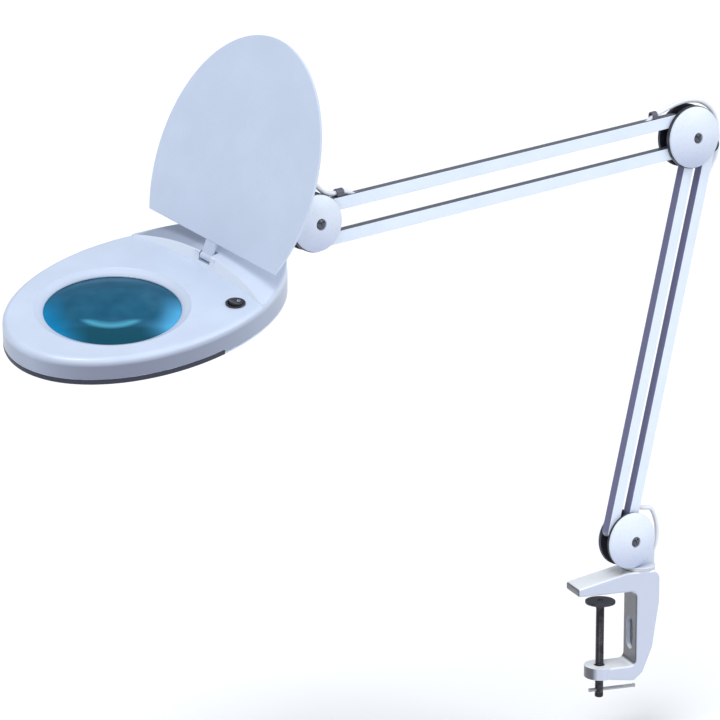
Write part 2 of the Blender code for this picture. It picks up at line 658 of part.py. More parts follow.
def add_yoke(tilt):
    half = YOKE_HALF_WIDTH
    outline = arc((-YOKE_LENGTH, 0), YOKE_EYE_RADIUS, 50, 310, 12) + [(0, -half), (0, half)]
    yoke = add_piece("neck_yoke", prism(outline, -half, half), "black_paint", tilt)
    join(yoke, rod(YOKE_BARREL_RADIUS, -half, half, "y"))
    cut(yoke, rod(BOLT_HOLE_RADIUS, -2 * half, 2 * half, "y", steps=16))
    cut(yoke, rod(PIN_HOLE_RADIUS, -2 * half, 2 * half, "z", (-YOKE_LENGTH, 0), 12))
    height = CLEVIS_HALF_HEIGHT
    add_piece("neck_pin", rod(PIN_RADIUS, -height, height, steps=12), "steel", tilt, (-YOKE_LENGTH, 0, 0))


def add_clevis(eye):
    height = CLEVIS_HALF_HEIGHT
    outline = arc((0, 0), CLEVIS_RADIUS, -90, 90, 10)
    outline += [(CLEVIS_WEB_OUTER, CLEVIS_RADIUS), (CLEVIS_WEB_OUTER, -CLEVIS_RADIUS)]
    clevis = add_piece("neck_clevis", prism(outline, -height, height), "black_paint", eye)
    slot = YOKE_HALF_WIDTH + GAP
    reach = 2 * CLEVIS_RADIUS
    cut(clevis, box((CLEVIS_WEB_INNER, -reach, -slot), (reach, reach, slot)))
    cut(clevis, rod(PIN_HOLE_RADIUS, -2 * height, 2 * height, steps=12))
    root = CLEVIS_WEB_INNER - 1
    profile = [(0, root), (SHAFT_RADIUS, root), (SHAFT_RADIUS, SHAFT_COLLAR_END)]
    profile += [(SHAFT_COLLAR_RADIUS, SHAFT_COLLAR_END), (SHAFT_COLLAR_RADIUS, SHAFT_END), (0, SHAFT_END)]
    join(clevis, turned(lathe(profile, 20), 90, "Y"))


def oval(inset, z):
    """Outline of the head at one height."""
    outline = circle((HEAD_X, 0), (HEAD_HALF_LENGTH - inset, HEAD_HALF_WIDTH - inset), 52)
    return [(x, y, z) for x, y in outline]


def hump(inset, sections=10):
    """The raised rear of the head, drawn in slices across it; an inset makes its hollow."""
    half_width = HUMP_HALF_WIDTH - HUMP_END_SHELL * inset
    length = HEAD_HALF_LENGTH - HUMP_INSET - inset
    width = HEAD_HALF_WIDTH - HUMP_INSET - inset
    rings = []
    for i in range(sections + 1):
        y = half_width * sin(pi * (i / sections - 0.5))
        front = HUMP_FRONT_X - HUMP_FRONT_SWEEP * y**2 + inset
        rear = HEAD_X + length * sqrt(1 - (y / width) ** 2)
        rise = HUMP_HEIGHT * (1 - (y / HUMP_HALF_WIDTH) ** 2)
        corner = min(HUMP_ROUND, 0.3 * (rear - front))
        ring = [(front, y, HUMP_LOW)]
        for part in (0.0, 0.35, 0.7, 1.0):
            x = front + part * (rear - corner - front)
            ring.append((x, y, HEAD_TOP + rise * (1 - HUMP_FALL * part**2) - inset))
        top = ring[-1][2]
        ring.append((rear - 0.3 * corner, y, top - 0.3 * corner))
        ring.append((rear, y, top - corner))
        ring.append((rear, y, HUMP_LOW))
        rings.append(ring)
    return loft(rings)


def add_housing(head):
    rings = [oval(0, WALL_BOTTOM)]
    for inset, rise in arc((SHOULDER, 0), SHOULDER, 180, 90, 3):
        rings.append(oval(inset, HEAD_TOP - SHOULDER + rise))
    housing = add_piece("head_housing", loft(rings), "white_plastic", head)
    join(housing, hump(0))
    cut(housing, loft([oval(SHELL, WALL_BOTTOM - OVERRUN), oval(SHELL, HEAD_TOP - SHELL)]))
    cut(housing, hump(SHELL))
    join(housing, rod(LIP_RADIUS, LIP_BOTTOM, HEAD_TOP - 1, steps=40))
    join(housing, rod(BUSH_BOSS_RADIUS, BUSH_BOSS_FRONT, BUSH_BOSS_REAR, "x", (0, EYE_Z), 24))
    cheek_low = (CHEEK_FRONT, -CHEEK_HALF_WIDTH, CHEEK_BOTTOM)
    join(housing, box(cheek_low, (CHEEK_REAR, CHEEK_HALF_WIDTH, CHEEK_TOP)))
    low = LIP_BOTTOM - OVERRUN
    high = HEAD_TOP + OVERRUN
    profile = [(0, low), (APERTURE_RADIUS, low), (APERTURE_RADIUS, FLARE_BOTTOM)]
    profile += [(FLARE_RADIUS, HEAD_TOP), (FLARE_RADIUS, high), (0, high)]
    cut(housing, lathe(profile, 40))
    notch_low = (NOTCH_FRONT, -NOTCH_HALF_WIDTH, NOTCH_FLOOR)
    cut(housing, box(notch_low, (NOTCH_REAR, NOTCH_HALF_WIDTH, HEAD_TOP + HUMP_HEIGHT + OVERRUN)))
    reach = STUB_HALF_LENGTH + STUB_END_GAP
    cut(housing, rod(STUB_HOLE_RADIUS, -reach, reach, "y", (HINGE_X, HINGE_Z), 12))
    cut(housing, rod(BUSH_RADIUS + GAP, BUSH_BOSS_FRONT - OVERRUN, BUSH_REAR + OVERRUN, "x", (0, EYE_Z), 24))
    cut(housing, rod(SWITCH_RADIUS + GAP, -OVERRUN, HEAD_TOP + OVERRUN, centre=(SWITCH_X, SWITCH_Y)))
    cut(housing, rod(CABLE_HOLE_RADIUS, OVERRUN, 5 * OVERRUN, centre=HEAD_ENTRY_HOLE, steps=16))
    front = HEAD_X - HEAD_HALF_LENGTH - OVERRUN
    slab_low = (front, -HEAD_HALF_WIDTH - OVERRUN, WALL_BOTTOM - OVERRUN)
    cut(housing, box(slab_low, (SPLIT_X + GAP, HEAD_HALF_WIDTH + OVERRUN, WALL_BOTTOM_FRONT)))


def add_underside(head):
    """The dark bezel under the lens and the white cover behind it, split at SPLIT_X."""
    reach = 2 * HEAD_HALF_LENGTH
    edge = UNDERSIDE_EDGE
    rings = [oval(edge, UNDERSIDE), oval(0, UNDERSIDE + edge), oval(0, BEZEL_TOP)]
    bezel = add_piece("bottom_bezel", loft(rings), "navy_plastic", head)
    cut(bezel, box((SPLIT_X - GAP / 2, -reach, -reach), (reach, reach, reach)))
    cut(bezel, rod(OPENING_RADIUS, UNDERSIDE - OVERRUN, OVERRUN, steps=40))
    rings = [oval(edge, UNDERSIDE), oval(0, UNDERSIDE + edge), oval(0, REAR_COVER_TOP)]
    cover = add_piece("rear_cover", loft(rings), "white_plastic", head)
    cut(cover, box((-reach, -reach, -reach), (SPLIT_X + GAP / 2, reach, reach)))
    cut(cover, rod(OPENING_RADIUS, UNDERSIDE - OVERRUN, OVERRUN, steps=40))


def add_optics(head):
    flat = LENS_FLAT_RADIUS
    profile = [(0, LENS_BOTTOM)]
    for part in (0.5, 1.0):
        profile.append((part * flat, LENS_BOTTOM + (LENS_EDGE_BOTTOM - LENS_BOTTOM) * part**2))
    profile += [(LENS_RADIUS, LENS_EDGE_BOTTOM), (LENS_RADIUS, LENS_EDGE_TOP)]
    for part in (1.0, 0.5):
        profile.append((part * flat, LENS_TOP + (LENS_EDGE_TOP - LENS_TOP) * part**2))
    profile.append((0, LENS_TOP))
    add_piece("lens", lathe(profile, 32), "glass", head)
    inner = RING_INNER_RADIUS
    outer = RING_OUTER_RADIUS
    profile = [(inner, LENS_EDGE_TOP), (outer, LENS_EDGE_TOP), (outer, RING_BOTTOM), (inner, RING_BOTTOM)]
    profile += [(inner, SHELF_BOTTOM), (SHELF_RADIUS, SHELF_BOTTOM)]
    profile += [(SHELF_RADIUS, SHELF_TOP), (inner, SHELF_TOP)]
    add_piece("lens_ring", lathe(profile, 32, hollow=True), "black_plastic", head)
    profile = [(DIFFUSER_INNER_RADIUS, DIFFUSER_BOTTOM), (DIFFUSER_OUTER_RADIUS, DIFFUSER_BOTTOM)]
    profile += [(DIFFUSER_OUTER_RADIUS, DIFFUSER_TOP), (DIFFUSER_INNER_RADIUS, DIFFUSER_TOP)]
    add_piece("diffuser", lathe(profile, 32, hollow=True), "clear_plastic", head)


def add_lamp(head):
    rings = []
    steps = 28
    for i in range(steps + 1):
        angle = radians(LAMP_END_ANGLE + (360 - 2 * LAMP_END_ANGLE) * i / steps)
        section = circle((LAMP_RADIUS, LAMP_Z), LAMP_TUBE_RADIUS, 8)
        rings.append([(radius * cos(angle), radius * sin(angle), z) for radius, z in section])
    add_piece("lamp_tube", loft(rings), "lamp_glass", head)
    reach = LAMP_TUBE_RADIUS
    low = (LIP_RADIUS + GAP, -SOCKET_HALF_WIDTH, LAMP_Z - reach)
    socket = box(low, (LAMP_RADIUS + reach, SOCKET_HALF_WIDTH, LAMP_Z + reach))
    add_piece("tube_socket", socket, "white_plastic", head)
    inner = RING_OUTER_RADIUS + GAP
    outer = LAMP_RADIUS - LAMP_TUBE_RADIUS - 3 * GAP
    foot = LAMP_Z - LAMP_TUBE_RADIUS - GAP
    outline = [(inner, LIP_BOTTOM - GAP), (outer, LIP_BOTTOM - GAP), (outer, foot)]
    outline += [(LAMP_RADIUS, foot), (LAMP_RADIUS, foot - CLIP_THICKNESS), (inner, foot - CLIP_THICKNESS)]
    for label, angle in (("left", CLIP_ANGLE), ("right", -CLIP_ANGLE)):
        clip = prism(outline, -CLIP_HALF_LENGTH, CLIP_HALF_LENGTH, "y")
        add_piece(f"tube_clip_{label}", clip, "steel", head, turn=(0, 0, angle))
    low = (BALLAST_X[0], -BALLAST_HALF_WIDTH, BALLAST_Z[0])
    add_piece("ballast", box(low, (BALLAST_X[1], BALLAST_HALF_WIDTH, BALLAST_Z[1])), "zinc", head)


def add_switch(head):
    flange = SWITCH_FLANGE_RADIUS
    seat = HEAD_TOP + GAP
    top = SWITCH_FLANGE_TOP
    profile = [(0, SWITCH_BOTTOM), (SWITCH_RADIUS, SWITCH_BOTTOM), (SWITCH_RADIUS, seat), (flange, seat)]
    profile += [(flange, top - SWITCH_EDGE), (flange - SWITCH_EDGE, top), (SWITCH_WELL_RADIUS, top)]
    profile += [(SWITCH_WELL_RADIUS, SWITCH_WELL_FLOOR), (0, SWITCH_WELL_FLOOR)]
    add_piece("switch_body", lathe(profile, 20), "black_plastic", head, (SWITCH_X, SWITCH_Y, 0))
    rocker = rod(ROCKER_RADIUS, ROCKER_BOTTOM, ROCKER_TOP)
    at = (SWITCH_X, SWITCH_Y, ROCKER_AXIS_Z)
    add_piece("switch_rocker", rocker, "black_plastic", head, at, (0, ROCKER_TILT, 0))


def add_bush(head):
    profile = [(BUSH_BORE_RADIUS, BUSH_FRONT), (BUSH_RADIUS, BUSH_FRONT), (BUSH_RADIUS, BUSH_REAR)]
    profile += [(BUSH_FLANGE_RADIUS, BUSH_REAR), (BUSH_FLANGE_RADIUS, BUSH_FLANGE_REAR)]
    profile += [(BUSH_BORE_RADIUS, BUSH_FLANGE_REAR)]
    add_piece("neck_bush", turned(lathe(profile, 20, hollow=True), 90, "Y"), "nylon", head, (0, 0, EYE_Z))


def add_lid(head):
    hinge = add_frame("lid_axis", head, (HINGE_X, 0, HINGE_Z), (0, LID_OPEN, 0))
    half = LID_THICKNESS / 2
    levels = [(LID_EDGE, -half), (0, LID_EDGE - half), (0, half - LID_EDGE), (LID_EDGE, half)]
    rings = []
    for inset, z in levels:
        length = LID_HALF_LENGTH - inset
        width = LID_HALF_WIDTH - inset
        rear = (LID_REAR_X - inset - LID_CENTRE_X) / length
        start = 90 - asin(rear) * 180 / pi
        outline = arc((LID_CENTRE_X, 0), (length, width), start, 360 - start, 44)
        rings.append([(x, y, LID_PLANE_Z + z) for x, y in outline])
    lid = add_piece("lid", loft(rings), "white_plastic", hinge)
    tab_low = (LID_REAR_X - OVERRUN, -TAB_HALF_WIDTH, TAB_BOTTOM)
    join(lid, box(tab_low, (0, TAB_HALF_WIDTH, TAB_TOP)))
    join(lid, rod(BARREL_RADIUS, -TAB_HALF_WIDTH, TAB_HALF_WIDTH, "y", steps=16))
    join(lid, rod(STUB_RADIUS, -STUB_HALF_LENGTH, STUB_HALF_LENGTH, "y", steps=12))


def mirrored_run(points, length):
    """The same cable run seen from the other end of a tube."""
    return [(x, length - z) for x, z in points]


def add_lower_arm(base):
    holes = [EXIT_HOLE, tuple(mirrored_run(EXIT_HOLE, LOWER_LENGTH))]
    right, left = [(x, 0, z) for x, z in (BASE_RIGHT_PIVOT, BASE_LEFT_PIVOT)]
    arm = add_frame("lower_arm_axis", base, right, (0, LOWER_LEAN, 0))
    add_tube("lower_tube_right", LOWER_LENGTH, 0, arm, holes)
    add_spring("lower_spring", 0, arm)
    link = add_frame("lower_link_axis", base, left, (0, LOWER_LEAN, 0))
    add_tube("lower_tube_left", LOWER_LENGTH, 0, link)
    return arm


def add_elbow(lower):
    axis = add_frame("elbow_axis", lower, (0, 0, LOWER_LENGTH), (0, -LOWER_LEAN, 0))
    elbow = add_frame("elbow_joint", axis, (-ELBOW_RIGHT_PIVOT[0], 0, -ELBOW_RIGHT_PIVOT[1]))
    pivots = {"left": ELBOW_LEFT_PIVOT, "right": ELBOW_RIGHT_PIVOT}
    pivots.update({"top": ELBOW_TOP_PIVOT, "bottom": ELBOW_BOTTOM_PIVOT})
    add_joint("elbow", ELBOW_COVER_RADIUS, ELBOW_PLATE_RADIUS, pivots, elbow, ELBOW_RIGHT_PIVOT)
    half = SPACER_HALF_LENGTH
    profile = [(BOLT_HOLE_RADIUS, -half), (SPACER_RADIUS, -half)]
    profile += [(SPACER_RADIUS, half), (BOLT_HOLE_RADIUS, half)]
    add_piece("elbow_spacer", turned(lathe(profile, 16, hollow=True), 90, "X"), "steel", elbow)
    return elbow


def add_upper_arm(elbow):
    along = -90.0
    holes = [EXIT_HOLE, tuple(mirrored_run(EXIT_HOLE, UPPER_LENGTH))]
    top, bottom = [(x, 0, z) for x, z in (ELBOW_TOP_PIVOT, ELBOW_BOTTOM_PIVOT)]
    arm = add_frame("upper_arm_axis", elbow, top, (0, -UPPER_DROOP, 0))
    add_tube("upper_tube_top", UPPER_LENGTH, along, arm, holes)
    add_spring("upper_spring", along, arm)
    add_saddle("cable_clip_elbow", *CLIP_ELBOW_ENDS, arm)
    add_saddle("cable_clip_head", *CLIP_HEAD_ENDS, arm)
    link = add_frame("upper_link_axis", elbow, bottom, (0, -UPPER_DROOP, 0))
    add_tube("upper_tube_bottom", UPPER_LENGTH, along, link)
    return arm


def add_head(bracket):
    tilt = add_frame("tilt_axis", bracket, (0, 0, 0), (0, HEAD_TILT, 0))
    add_yoke(tilt)
    eye = add_frame("neck_swivel_axis", tilt, (-YOKE_LENGTH, 0, 0), (0, 0, HEAD_SWIVEL))
    add_clevis(eye)
    twist = add_frame("neck_twist_axis", eye, (0, 0, 0), (HEAD_TWIST, 0, 0))
    head = add_frame("lens_centre", twist, (-EYE_X, 0, -EYE_Z))
    add_housing(head)
    add_underside(head)
    add_optics(head)
    add_lamp(head)
    add_switch(head)
    add_bush(head)
    add_lid(head)
    return head


def add_cables(base, lower, elbow, upper, bracket, head):
    """The loops of cable that bridge the joints."""
    far_lower = mirrored_run(EXIT_RUN, LOWER_LENGTH)
    far_upper = mirrored_run(EXIT_RUN, UPPER_LENGTH)
    stations = [(lower, (x, 0, z)) for x, z in EXIT_RUN]
    stations += [(base, (x, 0, z)) for x, z in BASE_LOOP + BASE_LOOP_END]
    add_cable("base_cable", base, stations)
    stations = [(upper, (-z, 0, x)) for x, z in EXIT_RUN]
    stations += [(elbow, (x, 0, z)) for x, z in ELBOW_LOOP + ELBOW_LOOP_END]
    stations += [(lower, (x, 0, z)) for x, z in reversed(far_lower)]
    add_cable("elbow_cable", elbow, stations)
    stations = [(upper, (-z, 0, x)) for x, z in far_upper] + [(upper, CLIP_CABLE_POINT)]
    stations += [(bracket, (x, 0, z)) for x, z in HEAD_LOOP + HEAD_LOOP_END]
    stations += [(head, point) for point in HEAD_ENTRY]
    add_cable("head_cable", bracket, stations)


def build():
    for obj in list(bpy.data.objects):
        bpy.data.objects.remove(obj, do_unlink=True)

    add_clamp()
    add_screw()
    swivel = add_frame("swivel_axis", None, (SWIVEL_X, 0, 0), (0, 0, ARM_AZIMUTH))
    add_post(swivel)
    base = add_frame("base_joint", swivel, (BASE_X, 0, BASE_Z))
    pivots = {"left": BASE_LEFT_PIVOT, "right": BASE_RIGHT_PIVOT}
    add_joint("base", BASE_COVER_RADIUS, BASE_PLATE_RADIUS, pivots, base)
    lower = add_lower_arm(base)
    elbow = add_elbow(lower)
    upper = add_upper_arm(elbow)

    bracket_axis = add_frame("head_bracket_axis", upper, (-UPPER_LENGTH, 0, 0), (0, UPPER_DROOP, 0))
    bracket = add_frame("head_joint", bracket_axis, (-HEAD_TOP_PIVOT[0], 0, -HEAD_TOP_PIVOT[1]))
    pivots = {"top": HEAD_TOP_PIVOT, "bottom": HEAD_BOTTOM_PIVOT}
    add_joint("head", HEAD_COVER_RADIUS, HEAD_PLATE_RADIUS, pivots, bracket)
    head = add_head(bracket)
    add_cables(base, lower, elbow, upper, bracket, head)


build()
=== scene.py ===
"""Looks of the clamp-on magnifying lamp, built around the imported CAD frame.

Shapes are drawn in millimetres in the frame of the part they belong to, and put in place in metres.
"""

import json
from math import asin, cos, dist, pi, radians, sin, sqrt, tau

import bmesh
import bpy
from mathutils import Euler, Matrix, Vector
from mathutils.geometry import interpolate_bezier


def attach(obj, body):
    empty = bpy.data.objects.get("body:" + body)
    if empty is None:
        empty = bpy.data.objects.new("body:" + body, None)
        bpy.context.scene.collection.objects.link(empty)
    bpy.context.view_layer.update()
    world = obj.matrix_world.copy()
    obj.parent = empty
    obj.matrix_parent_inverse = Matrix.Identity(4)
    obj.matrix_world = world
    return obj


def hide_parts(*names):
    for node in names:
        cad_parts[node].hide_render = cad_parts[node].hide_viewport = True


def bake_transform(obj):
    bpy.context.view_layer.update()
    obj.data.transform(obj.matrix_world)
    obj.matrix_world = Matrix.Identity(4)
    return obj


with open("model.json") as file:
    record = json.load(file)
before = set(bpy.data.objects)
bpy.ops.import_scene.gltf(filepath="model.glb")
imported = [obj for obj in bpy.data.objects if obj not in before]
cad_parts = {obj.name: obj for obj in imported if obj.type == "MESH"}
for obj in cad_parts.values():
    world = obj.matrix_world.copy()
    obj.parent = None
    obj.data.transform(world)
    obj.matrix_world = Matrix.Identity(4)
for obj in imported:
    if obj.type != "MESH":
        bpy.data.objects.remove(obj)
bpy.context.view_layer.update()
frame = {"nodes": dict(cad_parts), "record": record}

MM = 0.001
WELD = 1e-3
SHARP = 32
GAP = 0.3
OVERRUN = 4.0
ROUND = 128

# Arms. Pivots are (x, z) from the centre of their joint
LOWER_LENGTH = 384.4
UPPER_LENGTH = 410.8
ARM_AZIMUTH = 15.0
LOWER_LEAN = 13.86
UPPER_DROOP = 4.93
BASE_LEFT_PIVOT = (-20.3, 11.0)
BASE_RIGHT_PIVOT = (2.2, 11.0)
ELBOW_LEFT_PIVOT = (2.9, -10.5)
ELBOW_RIGHT_PIVOT = (25.4, -10.5)
ELBOW_TOP_PIVOT = (-18.0, 17.8)
ELBOW_BOTTOM_PIVOT = (-18.0, -13.6)
HEAD_TOP_PIVOT = (14.5, 13.07)
HEAD_BOTTOM_PIVOT = (14.5, -18.33)
TUBE_HALF_DEPTH = 6.0
TUBE_HALF_WIDTH = 5.0
TUBE_WALL = 1.1
CABLE_RADIUS = 2.25
CABLE_HOLE_RADIUS = 3.2
CABLE_STEP = 1.2
CLIP_OUTER_RADIUS = 3.9
CLIP_INNER_RADIUS = 2.6
SPRING_COIL_RADIUS = 2.6
SPRING_WIRE_RADIUS = 0.5
SPRING_START = 70.0
SPRING_LENGTH = 120.0
SPRING_TURNS = 8
SPRING_STEPS = 24

# Table clamp and post
CLAMP_HALF_WIDTH = 16.5
CLAMP_OUTLINE = [(-30.0, 0.0), (-30.0, 8.0), (22.0, 19.5), (52.0, 19.5), (57.0, 14.0), (57.0, -12.0)]
CLAMP_OUTLINE += [(50.0, -59.0), (40.0, -84.0), (31.0, -92.0), (0.0, -88.0), (0.0, -76.5)]
INNER_FILLET = 6.0
INNER_FILLET_X = 26.0
ARM_TOP = -76.5
ARM_BOTTOM = -88.0
ARM_TIP_RADII = (15.0, CLAMP_HALF_WIDTH - 0.2)
SCREW_BORE_RADIUS = 5.3
SWIVEL_X = 40.5
SOCKET_RADIUS = 6.3
BOSS_RADIUS = 16.4
BOSS_TOP = 20.2
SLOT_RADIUS = 8.0
SLOT_TOP = -38.0
SLOT_BOTTOM = -55.0
TOMMY_HEIGHT = -102.0
TOMMY_HOLE_RADIUS = 2.1
THREAD_PITCH = 2.0
THREAD_CREST = 4.25
THREAD_ROOT = 3.75
THREAD_TOP = -17.0
THREAD_BOTTOM = -106.0
THREAD_STEP = 0.2
BASE_X = -16.3
BASE_Z = 52.0
GLAND_X = 10.0
GLAND_Z = 30.0

# Joint stacks
PLATE_INNER = 5.3
PLATE_OUTER = 8.3
COVER_INNER = 8.6
COVER_RIM = 2.2
COVER_DOME = 5.7
COVER_SHELL = 2.1
REAR_COVER_INSET = 1.5
RECESS_RADIUS = 5.3
BOLT_HOLE_RADIUS = 2.8
PIN_HOLE_RADIUS = 2.3
LUG_RADIUS = 7.0
BOLT_RADIUS = 2.5
BOLT_HEAD_RADIUS = 4.6
BOLT_HEAD_INNER = 13.9
BOLT_SLOT_TURN = -20.0

# Lid, drawn closed and then turned open about its hinge
HINGE_X = 111.0
HINGE_Z = 9.5
LID_OPEN = 115.5
LID_THICKNESS = 2.5
LID_EDGE = 0.8
LID_MIDDLE = -1.035
LID_CENTRE = -79.5
LID_BACK = -15.0
LID_LENGTH = 127.0
LID_HALF_WIDTH = 98.2

# Picture: camera and soft lights (name, towards the light, strength, spread, colour)
CAMERA_LENS = 210.8
CAMERA_SENSOR = 36.0
CAMERA_PLACE = (-1.5806, -3.6509, 1.2240)
CAMERA_TURN = (76.0, 0.0, -20.0)
FLOOR_PLACE = (0.0, 6.0, -0.16)
SKY = (0.90, 0.94, 1.0, 1.0)
SKY_STRENGTH = 0.40
SUNS = (
    ("key", (-0.42, -0.42, 0.95), 1.35, 30.0, (1.0, 1.0, 1.0)),
    ("side", (0.75, -0.45, 0.55), 0.75, 40.0, (0.97, 0.98, 1.0)),
    ("top", (0.10, -0.10, 1.0), 0.75, 80.0, (0.97, 0.99, 1.0)),
    ("front", (-0.25, -0.90, 0.25), 0.35, 60.0, (0.96, 0.98, 1.0)),
)

# Neck and lens head
HEAD_TILT = -10.92
HEAD_SWIVEL = 6.87
HEAD_TWIST = 13.62
YOKE_LENGTH = 36.0
EYE_X = 198.36
EYE_Z = 1.18
HEAD_X = 39.35
HEAD_HALF_LENGTH = 143.3
HEAD_HALF_WIDTH = 98.4
HEAD_TOP = 2.0
SHELL = 2.5
SHOULDER = 5.0
WALL_BOTTOM = -20.7
WALL_BOTTOM_FRONT = -18.0
SPLIT_X = 45.0
UNDERSIDE = -23.5
HUMP_HALF_WIDTH = 88.0
HUMP_HEIGHT = 12.0
HUMP_FRONT_X = 106.0
HUMP_FRONT_SWEEP = 7.0 / 80.0**2
HUMP_FALL = 0.12
HUMP_LOW = -8.0
OPENING_RADIUS = 88.0
LENS_RADIUS = 63.5
LENS_FLAT_RADIUS = 60.2
LENS_TOP = 3.0
LENS_BOTTOM = -13.0
LAMP_RADIUS = 78.0
LAMP_TUBE_RADIUS = 8.0
LAMP_Z = -9.5
LAMP_END_ANGLE = 5.5
SWITCH_X = 82.3
SWITCH_Y = -70.4
ROCKER_AXIS_Z = 1.5
ROCKER_TILT = 9.0
CABLE_ENTRY = (160.0, 17.0)


def frame_of(parent, at, turn=(0, 0, 0)):
    spin = Euler([radians(angle) for angle in turn]).to_matrix().to_4x4()
    return parent @ Matrix.Translation(Vector(at) * MM) @ spin


def at_pivot(parent, pivot, turn):
    return frame_of(parent, (pivot[0], 0, pivot[1]), (0, turn, 0))


WORLD = Matrix.Identity(4)
SWIVEL = frame_of(WORLD, (SWIVEL_X, 0, 0), (0, 0, ARM_AZIMUTH))
BASE = frame_of(SWIVEL, (BASE_X, 0, BASE_Z))
LOWER = at_pivot(BASE, BASE_RIGHT_PIVOT, LOWER_LEAN)
LOWER_LINK = at_pivot(BASE, BASE_LEFT_PIVOT, LOWER_LEAN)
ELBOW_AXIS = frame_of(LOWER, (0, 0, LOWER_LENGTH), (0, -LOWER_LEAN, 0))
ELBOW = frame_of(ELBOW_AXIS, (-ELBOW_RIGHT_PIVOT[0], 0, -ELBOW_RIGHT_PIVOT[1]))
UPPER = at_pivot(ELBOW, ELBOW_TOP_PIVOT, -UPPER_DROOP)
UPPER_LINK = at_pivot(ELBOW, ELBOW_BOTTOM_PIVOT, -UPPER_DROOP)
BRACKET_AXIS = frame_of(UPPER, (-UPPER_LENGTH, 0, 0), (0, UPPER_DROOP, 0))
BRACKET = frame_of(BRACKET_AXIS, (-HEAD_TOP_PIVOT[0], 0, -HEAD_TOP_PIVOT[1]))
TILT = frame_of(BRACKET, (0, 0, 0), (0, HEAD_TILT, 0))
EYE = frame_of(TILT, (-YOKE_LENGTH, 0, 0), (0, 0, HEAD_SWIVEL))
TWIST = frame_of(EYE, (0, 0, 0), (HEAD_TWIST, 0, 0))
HEAD = frame_of(TWIST, (-EYE_X, 0, -EYE_Z))
LID = frame_of(HEAD, (HINGE_X, 0, HINGE_Z), (0, LID_OPEN, 0))
ROCKER = frame_of(HEAD, (SWITCH_X, SWITCH_Y, ROCKER_AXIS_Z), (0, ROCKER_TILT, 0))


# --- materials ---


LOOKS = {}


class Shader:
    """A node material under construction, kept in LOOKS under its name."""

    def __init__(self, name):
        self.material = bpy.data.materials.new(f"{name}_look")
        LOOKS[name] = self.material
        self.material.use_nodes = True
        self.tree = self.material.node_tree
        self.shader = self.tree.nodes["Principled BSDF"]
        self.place = self.add("ShaderNodeTexCoord")

    def add(self, kind, **settings):
        node = self.tree.nodes.new(kind)
        for key, value in settings.items():
            setattr(node, key, value)
        return node

    def link(self, source, target):
        self.tree.links.new(source, target)

    def value(self, socket, number):
        self.shader.inputs[socket].default_value = number

    def worn_edges(self):
        """Where an outer edge is rubbed, broken up by noise."""
        patches = self.ranged(self.noise(160.0, 3.0), 0.0, 0.8, 0.35, 0.65)
        return self.math("MULTIPLY", self.edges(0.0009), patches)

    def noise(self, scale, detail=3.0, stretch=(1, 1, 1)):
        mapping = self.add("ShaderNodeMapping")
        mapping.inputs["Scale"].default_value = stretch
        self.link(self.place.outputs["Object"], mapping.inputs["Vector"])
        texture = self.add("ShaderNodeTexNoise")
        texture.inputs["Scale"].default_value = scale
        texture.inputs["Detail"].default_value = detail
        self.link(mapping.outputs["Vector"], texture.inputs["Vector"])
        return texture.outputs["Fac"]

    def ranged(self, source, low, high, start=0.3, end=0.7):
        node = self.add("ShaderNodeMapRange")
        for socket, number in (("From Min", start), ("From Max", end), ("To Min", low), ("To Max", high)):
            node.inputs[socket].default_value = number
        self.link(source, node.inputs["Value"])
        return node.outputs["Result"]

    def math(self, operation, a, b=None):
        node = self.add("ShaderNodeMath", operation=operation, use_clamp=True)
        for target, source in zip(node.inputs, (a, b)):
            if isinstance(source, (int, float)):
                target.default_value = source
            elif source is not None:
                self.link(source, target)
        return node.outputs["Value"]

    def mix(self, factor, a, b):
        node = self.add("ShaderNodeMix", data_type="RGBA")
        for index, source in ((0, factor), (6, a), (7, b)):
            if isinstance(source, tuple):
                node.inputs[index].default_value = (*source, 1.0)
            else:
                self.link(source, node.inputs[index])
        return node.outputs[2]

    def along(self, direction, origin=(0, 0, 0), output="Object"):
        """How far a point, or a normal, reaches in a direction of the piece's own frame."""
        shift = self.add("ShaderNodeVectorMath", operation="SUBTRACT")
        shift.inputs[1].default_value = origin
        self.link(self.place.outputs[output], shift.inputs[0])
        dot = self.add("ShaderNodeVectorMath", operation="DOT_PRODUCT")
        dot.inputs[1].default_value = direction
        self.link(shift.outputs["Vector"], dot.inputs[0])
        return dot.outputs["Value"]

    def facing(self, direction, start, end):
        """How far a face turns towards a direction in the piece's own frame."""
        return self.ranged(self.along(direction, output="Normal"), 0.0, 1.0, start, end)

    def edges(self, radius):
        """Mask along the convex and concave edges."""
        bevel = self.add("ShaderNodeBevel", samples=4)
        bevel.inputs["Radius"].default_value = radius
        geometry = self.add("ShaderNodeNewGeometry")
        dot = self.add("ShaderNodeVectorMath", operation="DOT_PRODUCT")
        self.link(bevel.outputs["Normal"], dot.inputs[0])
        self.link(geometry.outputs["Normal"], dot.inputs[1])
        return self.ranged(dot.outputs["Value"], 1.0, 0.0, 0.80, 0.99)

    def relief(self, height, depth, strength, edge=0.0004):
        bump = self.add("ShaderNodeBump")
        bump.inputs["Strength"].default_value = strength
        bump.inputs["Distance"].default_value = depth
        self.link(height, bump.inputs["Height"])
        if edge:
            bevel = self.add("ShaderNodeBevel", samples=4)
            bevel.inputs["Radius"].default_value = edge
            self.link(bevel.outputs["Normal"], bump.inputs["Normal"])
        self.link(bump.outputs["Normal"], self.shader.inputs["Normal"])


def tinted(colour, factor):
    return tuple(min(1.0, channel * factor) for channel in colour)


